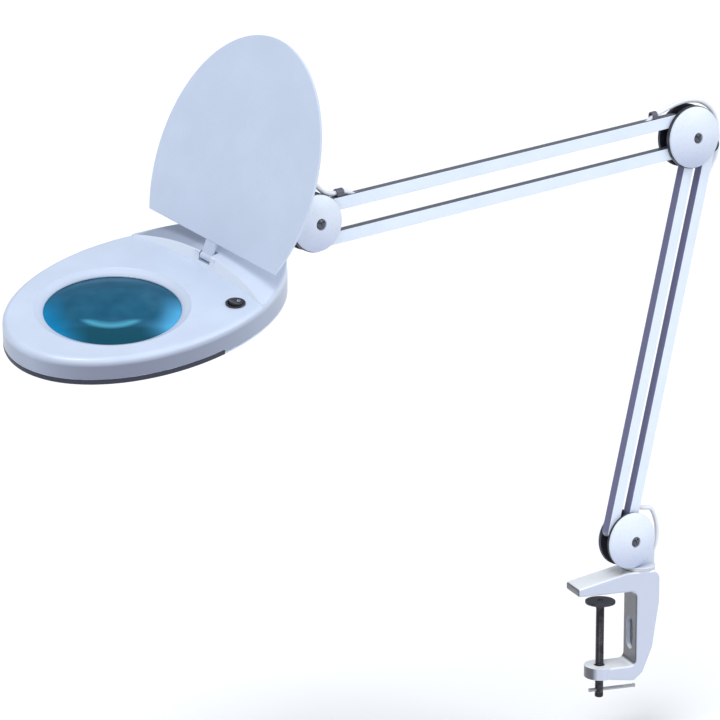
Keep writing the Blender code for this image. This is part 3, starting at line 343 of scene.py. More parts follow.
def surface(name, colour, roughness, metallic=0.0, grain=900.0, depth=2e-5, strength=0.25, tint=0.04,
            spread=0.06, wear=None, coat=0.0, painted_shading=(), shade_below=None, stretch=(1, 1, 1)):
    """Paint-finished, moulded or metal surface: slow colour drift, fine grain, worn edges and uneven gloss,
    with painted light and shade by facing direction and painted shade towards the bottom where asked.
    """
    made = Shader(name)
    drift = made.ranged(made.noise(22.0, 4.0), 0.0, 1.0)
    fine = made.noise(grain, 4.0, stretch)
    speckle = made.ranged(made.noise(grain * 0.35, 2.0, stretch), 0.0, 1.0)
    mottled_and_shaded = made.mix(drift, tinted(colour, 1 - tint), tinted(colour, 1 + tint))
    mottled_and_shaded = made.mix(made.math("MULTIPLY", speckle, 0.35), mottled_and_shaded, tinted(colour, 1 - 1.5 * tint))
    # Painted light and shade: faces turned one way take a lighter or darker colour
    for direction, shade in painted_shading:
        mottled_and_shaded = made.mix(made.facing(direction, 0.55, 0.8), mottled_and_shaded, shade)
    # Painted shade, darker towards the bottom
    if shade_below:
        dark, low, high = shade_below
        mottled_and_shaded = made.mix(made.ranged(made.along((0, 0, 1)), 1.0, 0.0, low, high), mottled_and_shaded, dark)
    if wear:
        worn = made.worn_edges()
        mottled_and_shaded = made.mix(worn, mottled_and_shaded, wear)
    made.link(mottled_and_shaded, made.shader.inputs["Base Color"])
    made.link(made.ranged(fine, roughness - spread, roughness + spread), made.shader.inputs["Roughness"])
    made.value("Metallic", metallic)
    made.value("Coat Weight", coat)
    made.value("Coat Roughness", 0.12)
    made.relief(fine, depth, strength)


def clear(name, colour, roughness, transmission, grain):
    made = Shader(name)
    drift = made.ranged(made.noise(grain, 4.0), 0.0, 1.0)
    made.link(made.mix(drift, tinted(colour, 0.97), tinted(colour, 1.02)), made.shader.inputs["Base Color"])
    gloss = made.ranged(made.noise(grain * 6, 2.0), roughness, roughness + 0.06)
    made.link(gloss, made.shader.inputs["Roughness"])
    made.value("Transmission Weight", transmission)
    made.value("IOR", 1.49)
    made.relief(made.noise(grain * 4, 2.0), 1e-5, 0.1, 0.0)


def lens_material():
    """Coated glass drawn as painted reflection: deep teal, brighter at both ends of its long axis, with a
    bright arc, and painted shade along its lower edge.

    Its numbers are metres from the lens's centre, along two directions across the glass.
    """
    made = Shader("lens_glass")
    across = made.along((0.74, -0.67, 0))
    upward = made.along((0.68, 0.73, 0))
    # Painted reflection: a deep teal across the glass
    drift = made.ranged(made.noise(45.0, 3.0), 0.0, 1.0)
    colour = made.mix(drift, (0.006, 0.078, 0.150), (0.015, 0.112, 0.200))
    # Painted shade along the lower edge
    low = made.ranged(upward, 1.0, 0.0, -0.036, -0.031)
    colour = made.mix(low, colour, (0.0005, 0.060, 0.100))
    flat = made.add("ShaderNodeVectorMath", operation="MULTIPLY")
    flat.inputs[1].default_value = (1.0, 1.0, 0.0)
    made.link(made.place.outputs["Object"], flat.inputs[0])
    radial = made.add("ShaderNodeVectorMath", operation="LENGTH")
    made.link(flat.outputs["Vector"], radial.inputs[0])
    # Painted reflections: bright crescents at both ends of the long axis, hugging the rim
    rim = made.ranged(radial.outputs["Value"], 0.0, 1.0, 0.040, 0.059)
    rim = made.math("MULTIPLY", rim, made.ranged(upward, 1.0, 0.0, -0.004, 0.026))
    left = made.math("MULTIPLY", made.ranged(across, 1.0, 0.0, -0.044, -0.018), rim)
    colour = made.mix(left, colour, (0.002, 0.19, 0.40))
    right = made.math("MULTIPLY", made.ranged(across, 0.0, 1.0, 0.026, 0.048), rim)
    right = made.math("MULTIPLY", right, made.ranged(upward, 0.0, 1.0, -0.048, -0.028))
    colour = made.mix(right, colour, (0.070, 0.37, 0.66))
    # Painted reflection: a bright arc low in the glass
    reach = made.add("ShaderNodeVectorMath", operation="DISTANCE")
    reach.inputs[1].default_value = (-0.0027, -0.0029, 0.0)
    made.link(flat.outputs["Vector"], reach.inputs[0])
    ring = made.math("MULTIPLY", made.ranged(reach.outputs["Value"], 0.0, 1.0, 0.0225, 0.0290),
                     made.ranged(reach.outputs["Value"], 1.0, 0.0, 0.0300, 0.0345))
    ring = made.math("MULTIPLY", ring, made.ranged(upward, 1.0, 0.0, -0.026, -0.021))
    made.link(made.mix(ring, colour, (0.06, 0.31, 0.46)), made.shader.inputs["Base Color"])
    made.link(made.ranged(made.noise(400.0, 2.0), 0.10, 0.16), made.shader.inputs["Roughness"])
    made.value("Specular IOR Level", 0.06)
    made.value("Coat Weight", 0.05)
    made.value("Coat Roughness", 0.03)
    made.relief(made.noise(300.0, 2.0), 4e-6, 0.05, 0.0)


def shell_material():
    """Moulded shell: painted shade on the wall, painted light on the ramp in front of the raised rear, and a
    painted shadow of the lid on the far half of its top.
    """
    made = Shader("shell_plastic_and_shade")
    axes = HEAD.to_3x3()
    origin = HEAD.translation
    drift = made.ranged(made.noise(22.0, 4.0), 0.0, 1.0)
    fine = made.noise(1400.0, 4.0)
    colour = made.mix(drift, tinted(PLASTIC, 0.96), tinted(PLASTIC, 1.04))
    height = made.along(axes @ Vector((0, 0, 1)), origin)
    # Painted shadow of the lid on the far half of the raised top
    far_side = made.ranged(made.along(axes @ Vector((0, 1, 0)), origin), 0.0, 1.0, -0.012, 0.024)
    raised = made.ranged(height, 0.0, 1.0, 0.0026, 0.0045)
    shaded = made.math("MULTIPLY", made.math("MULTIPLY", far_side, raised), 0.85)
    colour = made.mix(shaded, colour, SHADED_TOP)
    # Painted light on the ramp in front of the raised rear
    ramp = made.facing(axes @ Vector((-1, 0, 0.1)), 0.50, 0.75)
    above_rim = made.ranged(height, 0.0, 1.0, 0.0016, 0.0026)
    colour = made.mix(made.math("MULTIPLY", ramp, above_rim), colour, LIT_RAMP)
    # Painted shade on the wall, darker still on the faces turned to the front
    wall_shade = made.mix(made.facing((-0.15, -0.97, 0.19), 0.60, 0.92), WALL_SHADE, WALL_FRONT_SHADE)
    colour = made.mix(made.ranged(height, 1.0, 0.0, -0.0055, -0.0002), colour, wall_shade)
    worn = made.worn_edges()
    made.link(made.mix(worn, colour, PALE_WEAR), made.shader.inputs["Base Color"])
    made.link(made.ranged(fine, 0.27, 0.40), made.shader.inputs["Roughness"])
    made.value("Coat Weight", 0.2)
    made.value("Coat Roughness", 0.12)
    made.relief(fine, 2e-5, 0.25)


PAINT = (0.66, 0.71, 0.83)
PLASTIC = (0.56, 0.64, 0.79)
# Painted light and shade on the head's shell
WALL_SHADE = (0.33, 0.38, 0.50)
LIT_RAMP = (0.74, 0.81, 0.92)
SHADED_TOP = (0.26, 0.31, 0.43)
WALL_FRONT_SHADE = (0.185, 0.205, 0.29)
# Painted light and shade on the clamp's faces
LEFT_FACE_SHADE = (0.10, 0.105, 0.125)
CLAMP_FRONT_SHADE = (0.53, 0.575, 0.70)
CLAMP_TOP_LIGHT = (0.90, 0.93, 0.97)
COVER_LOW_SHADE = (0.43, 0.48, 0.66)
# Painted shade on the tubes' left and top faces
LOWER_TUBE_SHADE = (0.13, 0.13, 0.24)
UPPER_TUBE_SHADE = (0.075, 0.085, 0.115)
PALE_WEAR = (0.86, 0.90, 0.97)
TUBE = (0.72, 0.80, 0.93)

surface("white_paint", PAINT, 0.36, grain=420.0, depth=6e-5, wear=PALE_WEAR, coat=0.3)
# The clamp's white paint with painted shade: darker on its front faces, darker still on its left-facing jaw
# end and inner face, and painted light on its top faces
surface("clamp_paint_and_shade", PAINT, 0.36, grain=420.0, depth=6e-5, wear=PALE_WEAR, coat=0.3,
        painted_shading=[((0, -1, 0), CLAMP_FRONT_SHADE), ((-0.2, 0, 0.98), CLAMP_TOP_LIGHT), ((-1, 0, 0), LEFT_FACE_SHADE)])
# Painted shade: the covers grow darker towards the bottom
surface("white_cover", (0.76, 0.83, 0.93), 0.30, grain=700.0, wear=PALE_WEAR, coat=0.35,
        shade_below=(COVER_LOW_SHADE, -0.032, 0.016))
surface("white_plastic", PLASTIC, 0.36, grain=1400.0, wear=PALE_WEAR, coat=0.15)
# Painted shade on the lower tubes' left faces and on the upper tubes' top faces
surface("tube_lower", TUBE, 0.34, grain=600.0, wear=PALE_WEAR, coat=0.3,
        painted_shading=[((-1, 0, 0), LOWER_TUBE_SHADE)], stretch=(1, 1, 0.4))
surface("tube_upper", TUBE, 0.34, grain=600.0, wear=PALE_WEAR, coat=0.3,
        painted_shading=[((0, 0, 1), UPPER_TUBE_SHADE)], stretch=(0.4, 1, 1))
surface("black_paint", (0.018, 0.018, 0.030), 0.40, grain=800.0, wear=(0.16, 0.16, 0.18))
surface("black_plastic", (0.012, 0.012, 0.016), 0.34, grain=1500.0, wear=(0.07, 0.07, 0.08))
surface("navy_plastic", (0.014, 0.017, 0.042), 0.45, grain=1300.0, wear=(0.05, 0.055, 0.10))
surface("saddle_plastic", (0.10, 0.10, 0.135), 0.36, grain=1500.0, wear=(0.24, 0.24, 0.28))
surface("steel", (0.42, 0.42, 0.44), 0.30, 1.0, grain=1100.0, wear=(0.75, 0.75, 0.78), tint=0.12)
surface("screw_steel", (0.045, 0.045, 0.05), 0.30, 1.0, grain=900.0, wear=(0.38, 0.38, 0.40), tint=0.15)
surface("bolt_steel", (0.10, 0.10, 0.12), 0.18, 1.0, grain=1200.0, wear=(0.5, 0.5, 0.54), tint=0.15)
surface("ballast_steel", (0.55, 0.57, 0.60), 0.42, 1.0, grain=500.0, tint=0.10)
surface("nylon", (0.76, 0.76, 0.71), 0.48, grain=1200.0, wear=(0.88, 0.88, 0.84))
surface("rubber", (0.022, 0.022, 0.024), 0.72, grain=1800.0, wear=(0.06, 0.06, 0.06))
surface("cable_sheath", (0.80, 0.83, 0.90), 0.42, grain=1500.0)
surface("lamp_glass", (0.90, 0.93, 0.96), 0.22, grain=600.0, tint=0.02, coat=0.5)
clear("clear_plastic", (0.86, 0.93, 0.97), 0.16, 0.75, 240.0)
lens_material()
shell_material()

# Looks of single pieces, and the slot that each belongs to; the others are named after their slot
SLOTS = {"clamp_paint_and_shade": "white_paint", "tube_lower": "white_paint", "tube_upper": "white_paint"}
SLOTS |= {"saddle_plastic": "black_plastic", "shell_plastic_and_shade": "white_plastic"}
SLOTS |= {"screw_steel": "steel", "bolt_steel": "steel"}


# --- shapes ---


def arc(centre, radius, start, end, steps):
    """Points on an arc, both ends included; a pair of radii makes it elliptical."""
    across, along = radius if isinstance(radius, tuple) else (radius, radius)
    angles = [radians(start + (end - start) * i / steps) for i in range(steps + 1)]
    return [(centre[0] + across * cos(a), centre[1] + along * sin(a)) for a in angles]


def circle(centre, radius, steps=48):
    return arc(centre, radius, 0, 360, steps)[:-1]


def loft(rings, closed=False):
    """Solid through rings of one number of points; a closed one joins its last ring to its first."""
    bm = bmesh.new()
    layers = [[bm.verts.new(point) for point in ring] for ring in rings]
    pairs = list(zip(layers, layers[1:]))
    if closed:
        pairs.append((layers[-1], layers[0]))
    else:
        bm.faces.new(layers[0])
        bm.faces.new(layers[-1])
    for lower, upper in pairs:
        for i in range(len(lower)):
            bm.faces.new((lower[i - 1], lower[i], upper[i], upper[i - 1]))
    return bm


def prism(outline, low, high, axis="z"):
    """Outline pairs are (x, y) for axis z, (x, z) for axis y and (y, z) for axis x."""
    order = {"z": (0, 1, 2), "y": (0, 2, 1), "x": (2, 0, 1)}[axis]
    return loft([[tuple((a, b, level)[k] for k in order) for a, b in outline] for level in (low, high)])


def box(low, high):
    outline = [low[:2], (high[0], low[1]), high[:2], (low[0], high[1])]
    return prism(outline, low[2], high[2])


def rod(radius, low, high, axis="z", centre=(0, 0), steps=48):
    return prism(circle(centre, radius, steps), low, high, axis)


def ring_at(radius, z, around):
    return [(radius * cos(tau * j / around), radius * sin(tau * j / around), z) for j in range(around)]


def lathe(profile, steps=ROUND, hollow=False):
    """Turns a profile of (radius, z) about z; a hollow one closes on itself."""
    bm = bmesh.new()
    layers = []
    for i, (radius, z) in enumerate(profile):
        if i and dist(profile[i], profile[i - 1]) < WELD:
            continue
        around = steps if radius > WELD else 1
        layers.append([bm.verts.new(point) for point in ring_at(radius, z, around)] * (steps // around))
    pairs = list(zip(layers, layers[1:]))
    if hollow:
        pairs.append((layers[-1], layers[0]))
    for lower, upper in pairs:
        for i in range(steps):
            corners = (lower[i - 1], lower[i], upper[i], upper[i - 1])
            bm.faces.new(list(dict.fromkeys(corners)))
    return bm


def turned(bm, angle, axis):
    bmesh.ops.rotate(bm, verts=bm.verts, cent=(0, 0, 0), matrix=Matrix.Rotation(radians(angle), 3, axis))
    return bm


def moved(bm, vector):
    bmesh.ops.translate(bm, verts=bm.verts, vec=vector)
    return bm


def slanted_rod(start, end, radius):
    """Rod in the xz plane between two (x, z) points."""
    across = Vector((end[0] - start[0], 0, end[1] - start[1]))
    bm = rod(radius, 0, across.length)
    bmesh.ops.rotate(bm, verts=bm.verts, cent=(0, 0, 0),
                     matrix=Vector((0, 0, 1)).rotation_difference(across).to_matrix())
    return moved(bm, (start[0], 0, start[1]))


def rounded(profile, radius, steps=4):
    """An open outline with each inner corner replaced by a small curve."""
    points = [profile[0]]
    for before, corner, after in zip(profile, profile[1:], profile[2:]):
        centre = Vector(corner)
        back = Vector(before) - centre
        ahead = Vector(after) - centre
        reach = min(radius, 0.45 * back.length, 0.45 * ahead.length)
        start = centre + back.normalized() * reach
        end = centre + ahead.normalized() * reach
        for i in range(steps + 1):
            t = i / steps
            points.append(tuple((1 - t) ** 2 * start + 2 * t * (1 - t) * centre + t**2 * end))
    points.append(profile[-1])
    return points


def mesh_from(name, bm):
    bmesh.ops.scale(bm, vec=(MM, MM, MM), verts=bm.verts)
    bmesh.ops.recalc_face_normals(bm, faces=bm.faces)
    mesh = bpy.data.meshes.new(name)
    bm.to_mesh(mesh)
    bm.free()
    return mesh


def linked(name, data):
    obj = bpy.data.objects.new(name, data)
    bpy.context.scene.collection.objects.link(obj)
    return obj


def bare_object(name, bm):
    return linked(name, mesh_from(name, bm))


def settle(obj):
    """Bakes the modifiers of an object into its mesh."""
    bpy.context.view_layer.update()
    evaluated = obj.evaluated_get(bpy.context.evaluated_depsgraph_get())
    mesh = bpy.data.meshes.new_from_object(evaluated)
    obj.modifiers.clear()
    obj.data = mesh


def shape(name, bm, steps=(), soft=None, finish=None):
    """One object from a base solid: optional edge rounding, joins and cuts in order, and a last rounding."""
    obj = bare_object(name, bm)
    if soft:
        round_edges(obj, *soft)
    helpers = []
    for operation, tool in steps:
        helper = bare_object(name + "_tool", tool)
        helpers.append(helper)
        modifier = obj.modifiers.new("step", "BOOLEAN")
        modifier.object = helper
        modifier.operation = operation
        modifier.solver = "EXACT"
    if finish:
        round_edges(obj, *finish)
    if obj.modifiers:
        settle(obj)
    for helper in helpers:
        bpy.data.objects.remove(helper, do_unlink=True)
    return obj


def round_edges(obj, width, segments, angle=SHARP):
    modifier = obj.modifiers.new("soft_edges", "BEVEL")
    modifier.width = width * MM
    modifier.segments = segments
    modifier.limit_method = "ANGLE"
    modifier.angle_limit = radians(angle)


def smooth(obj):
    obj.data.shade_smooth()
    obj.data.set_sharp_from_angle(angle=radians(SHARP))
    modifier = obj.modifiers.new("even_shading", "WEIGHTED_NORMAL")
    modifier.keep_sharp = True


def wear_look(obj, look):
    obj.data.materials.clear()
    obj.data.materials.append(LOOKS[look])


def dress(obj, look):
    """Gives a piece its look."""
    wear_look(obj, look)


def place(obj, look, home, body, stands_for=(), baked=False):
    """Puts a finished piece in its frame, riding on its body; a baked one holds its place in its mesh."""
    smooth(obj)
    dress(obj, look)
    if baked:
        obj.data.transform(home)
    else:
        obj.matrix_world = home
    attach(obj, body)
    if stands_for:
        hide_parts(*stands_for)
    return obj


def CUT(bm):
    return ("DIFFERENCE", bm)


def JOIN(bm):
    return ("UNION", bm)


# --- clamp ---


def add_clamp():
    half = CLAMP_HALF_WIDTH
    outline = list(CLAMP_OUTLINE)
    outline += arc((INNER_FILLET_X, ARM_TOP + INNER_FILLET), INNER_FILLET, -90, 0, 10)
    outline += arc((INNER_FILLET_X, -INNER_FILLET), INNER_FILLET, 0, 90, 10)
    tip = prism(circle((0, 0), ARM_TIP_RADII, 72), ARM_BOTTOM, ARM_TOP)
    slot_ends = arc((0, SLOT_TOP), SLOT_RADIUS, 0, 180, 20)
    slot_ends += arc((0, SLOT_BOTTOM), SLOT_RADIUS, 180, 360, 20)
    clamp = shape("clamp_casting", prism(outline, -half, half, "y"), [
        JOIN(tip),
        JOIN(rod(BOSS_RADIUS, OVERRUN, BOSS_TOP, centre=(SWIVEL_X, 0), steps=96)),
        CUT(rod(SCREW_BORE_RADIUS, ARM_BOTTOM - OVERRUN, ARM_TOP + OVERRUN)),
        CUT(rod(SOCKET_RADIUS, -20.0, BOSS_TOP + OVERRUN, centre=(SWIVEL_X, 0))),
        CUT(prism(slot_ends, 28.0, 36.0, "x")),
    ], soft=(2.6, 5))
    place(clamp, "clamp_paint_and_shade", WORLD, "clamp", ["clamp_body"])


def add_screw():
    """Threaded screw, the pad that swivels on its tip, and the bar through its foot."""
    top = THREAD_TOP
    bottom = THREAD_BOTTOM
    around = 36
    rings = []
    levels = round((top - bottom) / THREAD_STEP)
    for i in range(levels + 1):
        z = bottom + (top - bottom) * i / levels
        fade = max(0.0, min(1.0, (top - z) / THREAD_PITCH, (z - bottom) / THREAD_PITCH))
        ring = []
        for j in range(around):
            turn = j / around
            phase = (z / THREAD_PITCH - turn) % 1.0
            ridge = max(0.0, min(1.0, 4.5 * (0.5 - abs(phase - 0.5)) - 0.6))
            radius = THREAD_CREST - (THREAD_CREST - THREAD_ROOT) * (1 - ridge) * fade
            ring.append((radius * cos(tau * turn), radius * sin(tau * turn), z))
        rings.append(ring)
    foot = ((3.0, -109.6), (3.7, -109.3), (4.1, -108.8), (THREAD_CREST, -108.2))
    tip = ((THREAD_CREST, -15.7), (3.9, -15.2), (3.45, -14.9), (2.2, -14.9), (2.2, -11.6))
    rings = [ring_at(r, z, around) for r, z in foot] + rings + [ring_at(r, z, around) for r, z in tip]
    hole = rod(TOMMY_HOLE_RADIUS, -8.0, 8.0, "x", (0, TOMMY_HEIGHT))
    screw = shape("threaded_screw", loft(rings), [CUT(hole)])
    place(screw, "screw_steel", WORLD, "screw", ["clamp_screw"])

    profile = [(0, -10.6), (2.6, -10.6), (3.2, -10.0), (15.0, -10.0), (15.0, -12.8), (5.7, -13.1)]
    profile = rounded(profile, 0.8)
    profile += rounded([(5.7, -13.1), (5.4, -14.6), (2.5, -14.6), (2.5, -11.3), (0, -11.3)], 0.3)[1:]
    pad = shape("swivel_pad", lathe(profile))
    place(pad, "black_paint", WORLD, "pad", ["pressure_pad"])

    left_knob = [(0, -11.0), (2.0, -11.0), (2.0, -9.0), (1.75, -8.6)]
    right_knob = [(1.75, 36.1), (2.0, 36.5), (2.0, 38.5), (0, 38.5)]
    bar = shape("sliding_bar", turned(lathe(rounded(left_knob + right_knob, 0.6), 48), 90, "Y"))
    place(bar, "steel", frame_of(WORLD, (0, 0, TOMMY_HEIGHT)), "tommy", ["tommy_bar"])


def add_washer():
    profile = [(6.4, 20.5), (16.0, 20.5), (16.0, 21.6), (6.4, 21.6)]
    washer = shape("swivel_disc", lathe(profile, hollow=True))
    place(washer, "nylon", frame_of(WORLD, (SWIVEL_X, 0, 0)), "clamp", ["swivel_washer"])


def add_post():
    profile = [(0, -14.0), (6.0, -14.0), (6.0, 21.9), (16.5, 21.9), (16.5, 23.6), (0, 23.6)]
    profile = rounded(profile, 0.5)
    outline = [(-11.0, 22.6), (16.4, 22.6), (16.4, 38.0), (8.0, 46.0)]
    outline += arc((BASE_X, BASE_Z), 4.5, 70, 235, 16)
    # The tongue's own edges are rounded before it is joined to the turned post
    tongue = shape("tongue", prism(outline, -5.0, 5.0, "y"), soft=(0.7, 3))
    bm = bmesh.new()
    bm.from_mesh(tongue.data)
    bmesh.ops.scale(bm, vec=(1 / MM, 1 / MM, 1 / MM), verts=bm.verts)
    bpy.data.objects.remove(tongue, do_unlink=True)
    post = shape("swivel_post", lathe(profile, 96), [
        JOIN(bm),
        CUT(rod(BOLT_HOLE_RADIUS, -8.0, 8.0, "y", (BASE_X, BASE_Z))),
        CUT(slanted_rod((4.0, 27.8), (22.0, 39.8), CABLE_HOLE_RADIUS)),
        CUT(rod(3.7, -1.0, 8.0, "y", (GLAND_X, GLAND_Z))),
    ])
    place(post, "white_paint", SWIVEL, "base", ["base_post"])
    profile = [(2.6, 2.8), (3.4, 2.8), (3.4, 5.3), (5.5, 5.3)]
    profile = rounded(profile + [(5.5, 6.8), (4.2, 7.2), (3.8, 13.0), (2.6, 13.0)], 0.4)
    gland = shape("cord_collar", turned(lathe(profile, 64, hollow=True), -90, "X"))
    place(gland, "rubber", frame_of(SWIVEL, (GLAND_X, 0, GLAND_Z)), "base", ["cord_gland"])


# --- joints ---


def add_cover(prefix, label, radius, side, home, body):
    """Domed cover with a bolt recess; side is -1 for the front and 1 for the rear."""
    rim = COVER_RIM
    recess = RECESS_RADIUS
    middle = 0.48 * radius

    def dome(r):
        return rim + COVER_DOME * (1 - (r / radius) ** 2)

    profile = [(radius, 0.0)] + arc((radius - 1.0, rim - 0.8), (1.0, 1.1), 0, 70, 6)
    radii = [radius - 1.4 - (radius - 1.4 - recess - 0.5) * i / 16 for i in range(17)]
    profile += [(r, dome(r)) for r in radii]
    profile += [(recess + 0.15, dome(recess) - 0.15), (recess, dome(recess) - 0.5)]
    profile += [(recess, 5.3), (recess - 0.3, 5.0), (BOLT_HOLE_RADIUS, 5.0), (BOLT_HOLE_RADIUS, 3.0)]
    profile += [(middle, dome(middle) - COVER_SHELL), (radius - COVER_SHELL, 0.0)]
    cover = shape(f"{prefix}_dome_{label}", turned(lathe(profile, ROUND, hollow=True), -90 * side, "X"))
    at = frame_of(home, (0, side * COVER_INNER, 0))
    place(cover, "white_cover", at, body, [f"{prefix}_cover_{label}"])


def add_plate(prefix, label, radius, side, pivots, home, body, lug):
    low, high = sorted((side * PLATE_INNER, side * PLATE_OUTER))
    steps = []
    if lug:
        steps.append(JOIN(rod(LUG_RADIUS, low, high, "y", lug, 48)))
    steps.append(CUT(rod(BOLT_HOLE_RADIUS, low - 1, high + 1, "y")))
    steps += [CUT(rod(PIN_HOLE_RADIUS, low - 1, high + 1, "y", pivot, 32)) for pivot in pivots]
    disc = rod(radius, low, high, "y", steps=112)
    plate = shape(f"{prefix}_side_plate_{label}", disc, steps, finish=(0.35, 2))
    place(plate, "black_paint", home, body, [f"{prefix}_plate_{label}"])


def add_bolt(prefix, home, body):
    brim = BOLT_HEAD_INNER + 0.5
    head = [(BOLT_HEAD_RADIUS, BOLT_HEAD_INNER), (BOLT_HEAD_RADIUS, brim)]
    head += arc((0, brim), (BOLT_HEAD_RADIUS, 2.0), 0, 90, 14)[1:]
    shank = [(BOLT_RADIUS, BOLT_HEAD_INNER)]
    far_side = [(radius, -z) for radius, z in reversed(shank + head)]
    slot = turned(box((-0.6, -17.2, -5.6), (0.6, -15.4, 5.6)), BOLT_SLOT_TURN, "Y")
    bolt = shape(f"{prefix}_screw", turned(lathe(far_side + shank + head, 48), 90, "X"), [CUT(slot)])
    place(bolt, "bolt_steel", home, body, [f"{prefix}_bolt"])


def add_joint(prefix, cover_radius, plate_radius, pivots, home, body, lug=None):
    for label, side in (("front", -1), ("rear", 1)):
        add_plate(prefix, label, plate_radius, side, pivots, home, body, lug)
        inset = REAR_COVER_INSET if side > 0 else 0
        add_cover(prefix, label, cover_radius - inset, side, home, body)
    add_bolt(prefix, home, body)


# --- arms ---


EXIT_HOLE = ((1.2, 39.0), (10.2, 20.0))
EXIT_RUN = [(1.0, 44.0), (2.2, 36.0), (6.6, 28.0), (9.2, 21.5)]


def mirrored_run(points, length):
    """The same cable run seen from the other end of a tube."""
    return [(x, length - z) for x, z in points]


def add_tube(name, length, turn, home, body, node, look, holes=()):
    corner = 0.9
    inner = TUBE_HALF_WIDTH - TUBE_WALL
    depth = TUBE_HALF_DEPTH - TUBE_WALL
    ends = arc((0, length), TUBE_HALF_DEPTH, 0, 180, 24) + arc((0, 0), TUBE_HALF_DEPTH, 180, 360, 24)
    steps = [CUT(turned(box((-depth, -inner, -12.0), (depth, inner, length + 12.0)), turn, "Y"))]
    for height in (0, length):
        steps.append(CUT(turned(rod(PIN_HOLE_RADIUS, -10.0, 10.0, "y", (0, height), 32), turn, "Y")))
    for start, end in holes:
        steps.append(CUT(turned(slanted_rod(start, end, CABLE_HOLE_RADIUS), turn, "Y")))
    solid = turned(prism(ends, -TUBE_HALF_WIDTH, TUBE_HALF_WIDTH, "y"), turn, "Y")
    tube = shape(name, solid, steps, soft=(corner, 4))
    place(tube, look, home, body, [node])


def add_arms():
    lower_holes = [EXIT_HOLE, tuple(mirrored_run(EXIT_HOLE, LOWER_LENGTH))]
    upper_holes = [EXIT_HOLE, tuple(mirrored_run(EXIT_HOLE, UPPER_LENGTH))]
    add_tube("lower_arm_tube", LOWER_LENGTH, 0, LOWER, "lower_arm", "lower_tube_right", "tube_lower",
             lower_holes)
    add_tube("lower_link_tube", LOWER_LENGTH, 0, LOWER_LINK, "lower_link", "lower_tube_left", "tube_lower")
    add_tube("upper_arm_tube", UPPER_LENGTH, -90, UPPER, "upper_arm", "upper_tube_top", "tube_upper",
             upper_holes)
    add_tube("upper_link_tube", UPPER_LENGTH, -90, UPPER_LINK, "upper_link", "upper_tube_bottom",
             "tube_upper")
    for label, low, high in (("elbow", -28.0, -22.0), ("head", 12.5 - UPPER_LENGTH, 20.5 - UPPER_LENGTH)):
        centre = (0, 9.2)
        foot = TUBE_HALF_DEPTH + GAP
        outline = [(CLIP_OUTER_RADIUS, foot)] + arc(centre, CLIP_OUTER_RADIUS, 0, 180, 28)
        outline += [(-CLIP_OUTER_RADIUS, foot), (-CLIP_INNER_RADIUS, foot)]
        outline += arc(centre, CLIP_INNER_RADIUS, 180, 0, 28) + [(CLIP_INNER_RADIUS, foot)]
        clip = shape(f"saddle_{label}", prism(outline, low, high, "x"), soft=(0.35, 3))
        place(clip, "saddle_plastic", UPPER, "upper_arm", [f"cable_clip_{label}"])
    arms = (("lower", 0, LOWER, "lower_arm"), ("upper", -90, UPPER, "upper_arm"))
    for label, turn, home, body in arms:
        points = []
        last = SPRING_TURNS * SPRING_STEPS
        for i in range(last + 1):
            angle = tau * i / SPRING_STEPS
            height = SPRING_START + SPRING_LENGTH * i / last
            points.append(Vector((SPRING_COIL_RADIUS * cos(angle), SPRING_COIL_RADIUS * sin(angle), height)))
        coil = turned(sweep(points, SPRING_WIRE_RADIUS, 10), turn, "Y")
        spring = bare_object(f"{label}_balance_spring", coil)
        place(spring, "steel", home, body, [f"{label}_spring"])


def sweep(points, radius, sides):
    """Round bar along a path."""
    rings = []
    across = None
    for i, point in enumerate(points):
        ahead = points[min(i + 1, len(points) - 1)] - points[max(i - 1, 0)]
        ahead.normalize()
        if across is None:
            across = ahead.orthogonal().normalized()
        else:
            across = (across - ahead * across.dot(ahead)).normalized()
        beside = ahead.cross(across)
        ring = []
        for j in range(sides):
            angle = tau * j / sides
            ring.append(point + radius * (across * cos(angle) + beside * sin(angle)))
        rings.append(ring)
    return loft(rings)


def smooth_path(guides, step):
    """Evenly stepped points on a smooth curve through the guides."""
    points = [guides[0]]
    for i in range(len(guides) - 1):
        before = guides[max(i - 1, 0)]
        start = guides[i]
        end = guides[i + 1]
        after = guides[min(i + 2, len(guides) - 1)]
        count = max(2, round((end - start).length / step))
        leaving = start + (end - before) / 6
        arriving = end - (after - start) / 6
        points += interpolate_bezier(start, leaving, arriving, end, count + 1)[1:]
    return points


def add_cable(node, stations, sections):
    """Cable through (frame, point) stations; each section is (first guide, last guide, body, body), and its
    two bodies are not used.
    """
    guides = [home @ (Vector(point) * MM) / MM for home, point in stations]
    path = smooth_path(guides, CABLE_STEP)
    marks = [len(smooth_path(guides[:k + 1], CABLE_STEP)) for k in range(len(guides))]
    for number, (first, last, a, b) in enumerate(sections):
        run = path[marks[first] - 1:marks[last]]
        piece = bare_object(f"{node}_run_{number + 1}", sweep(run, CABLE_RADIUS, 20))
        smooth(piece)
        settle(piece)
        dress(piece, "cable_sheath")
        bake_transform(piece)
        if number == 0:
            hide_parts(node)


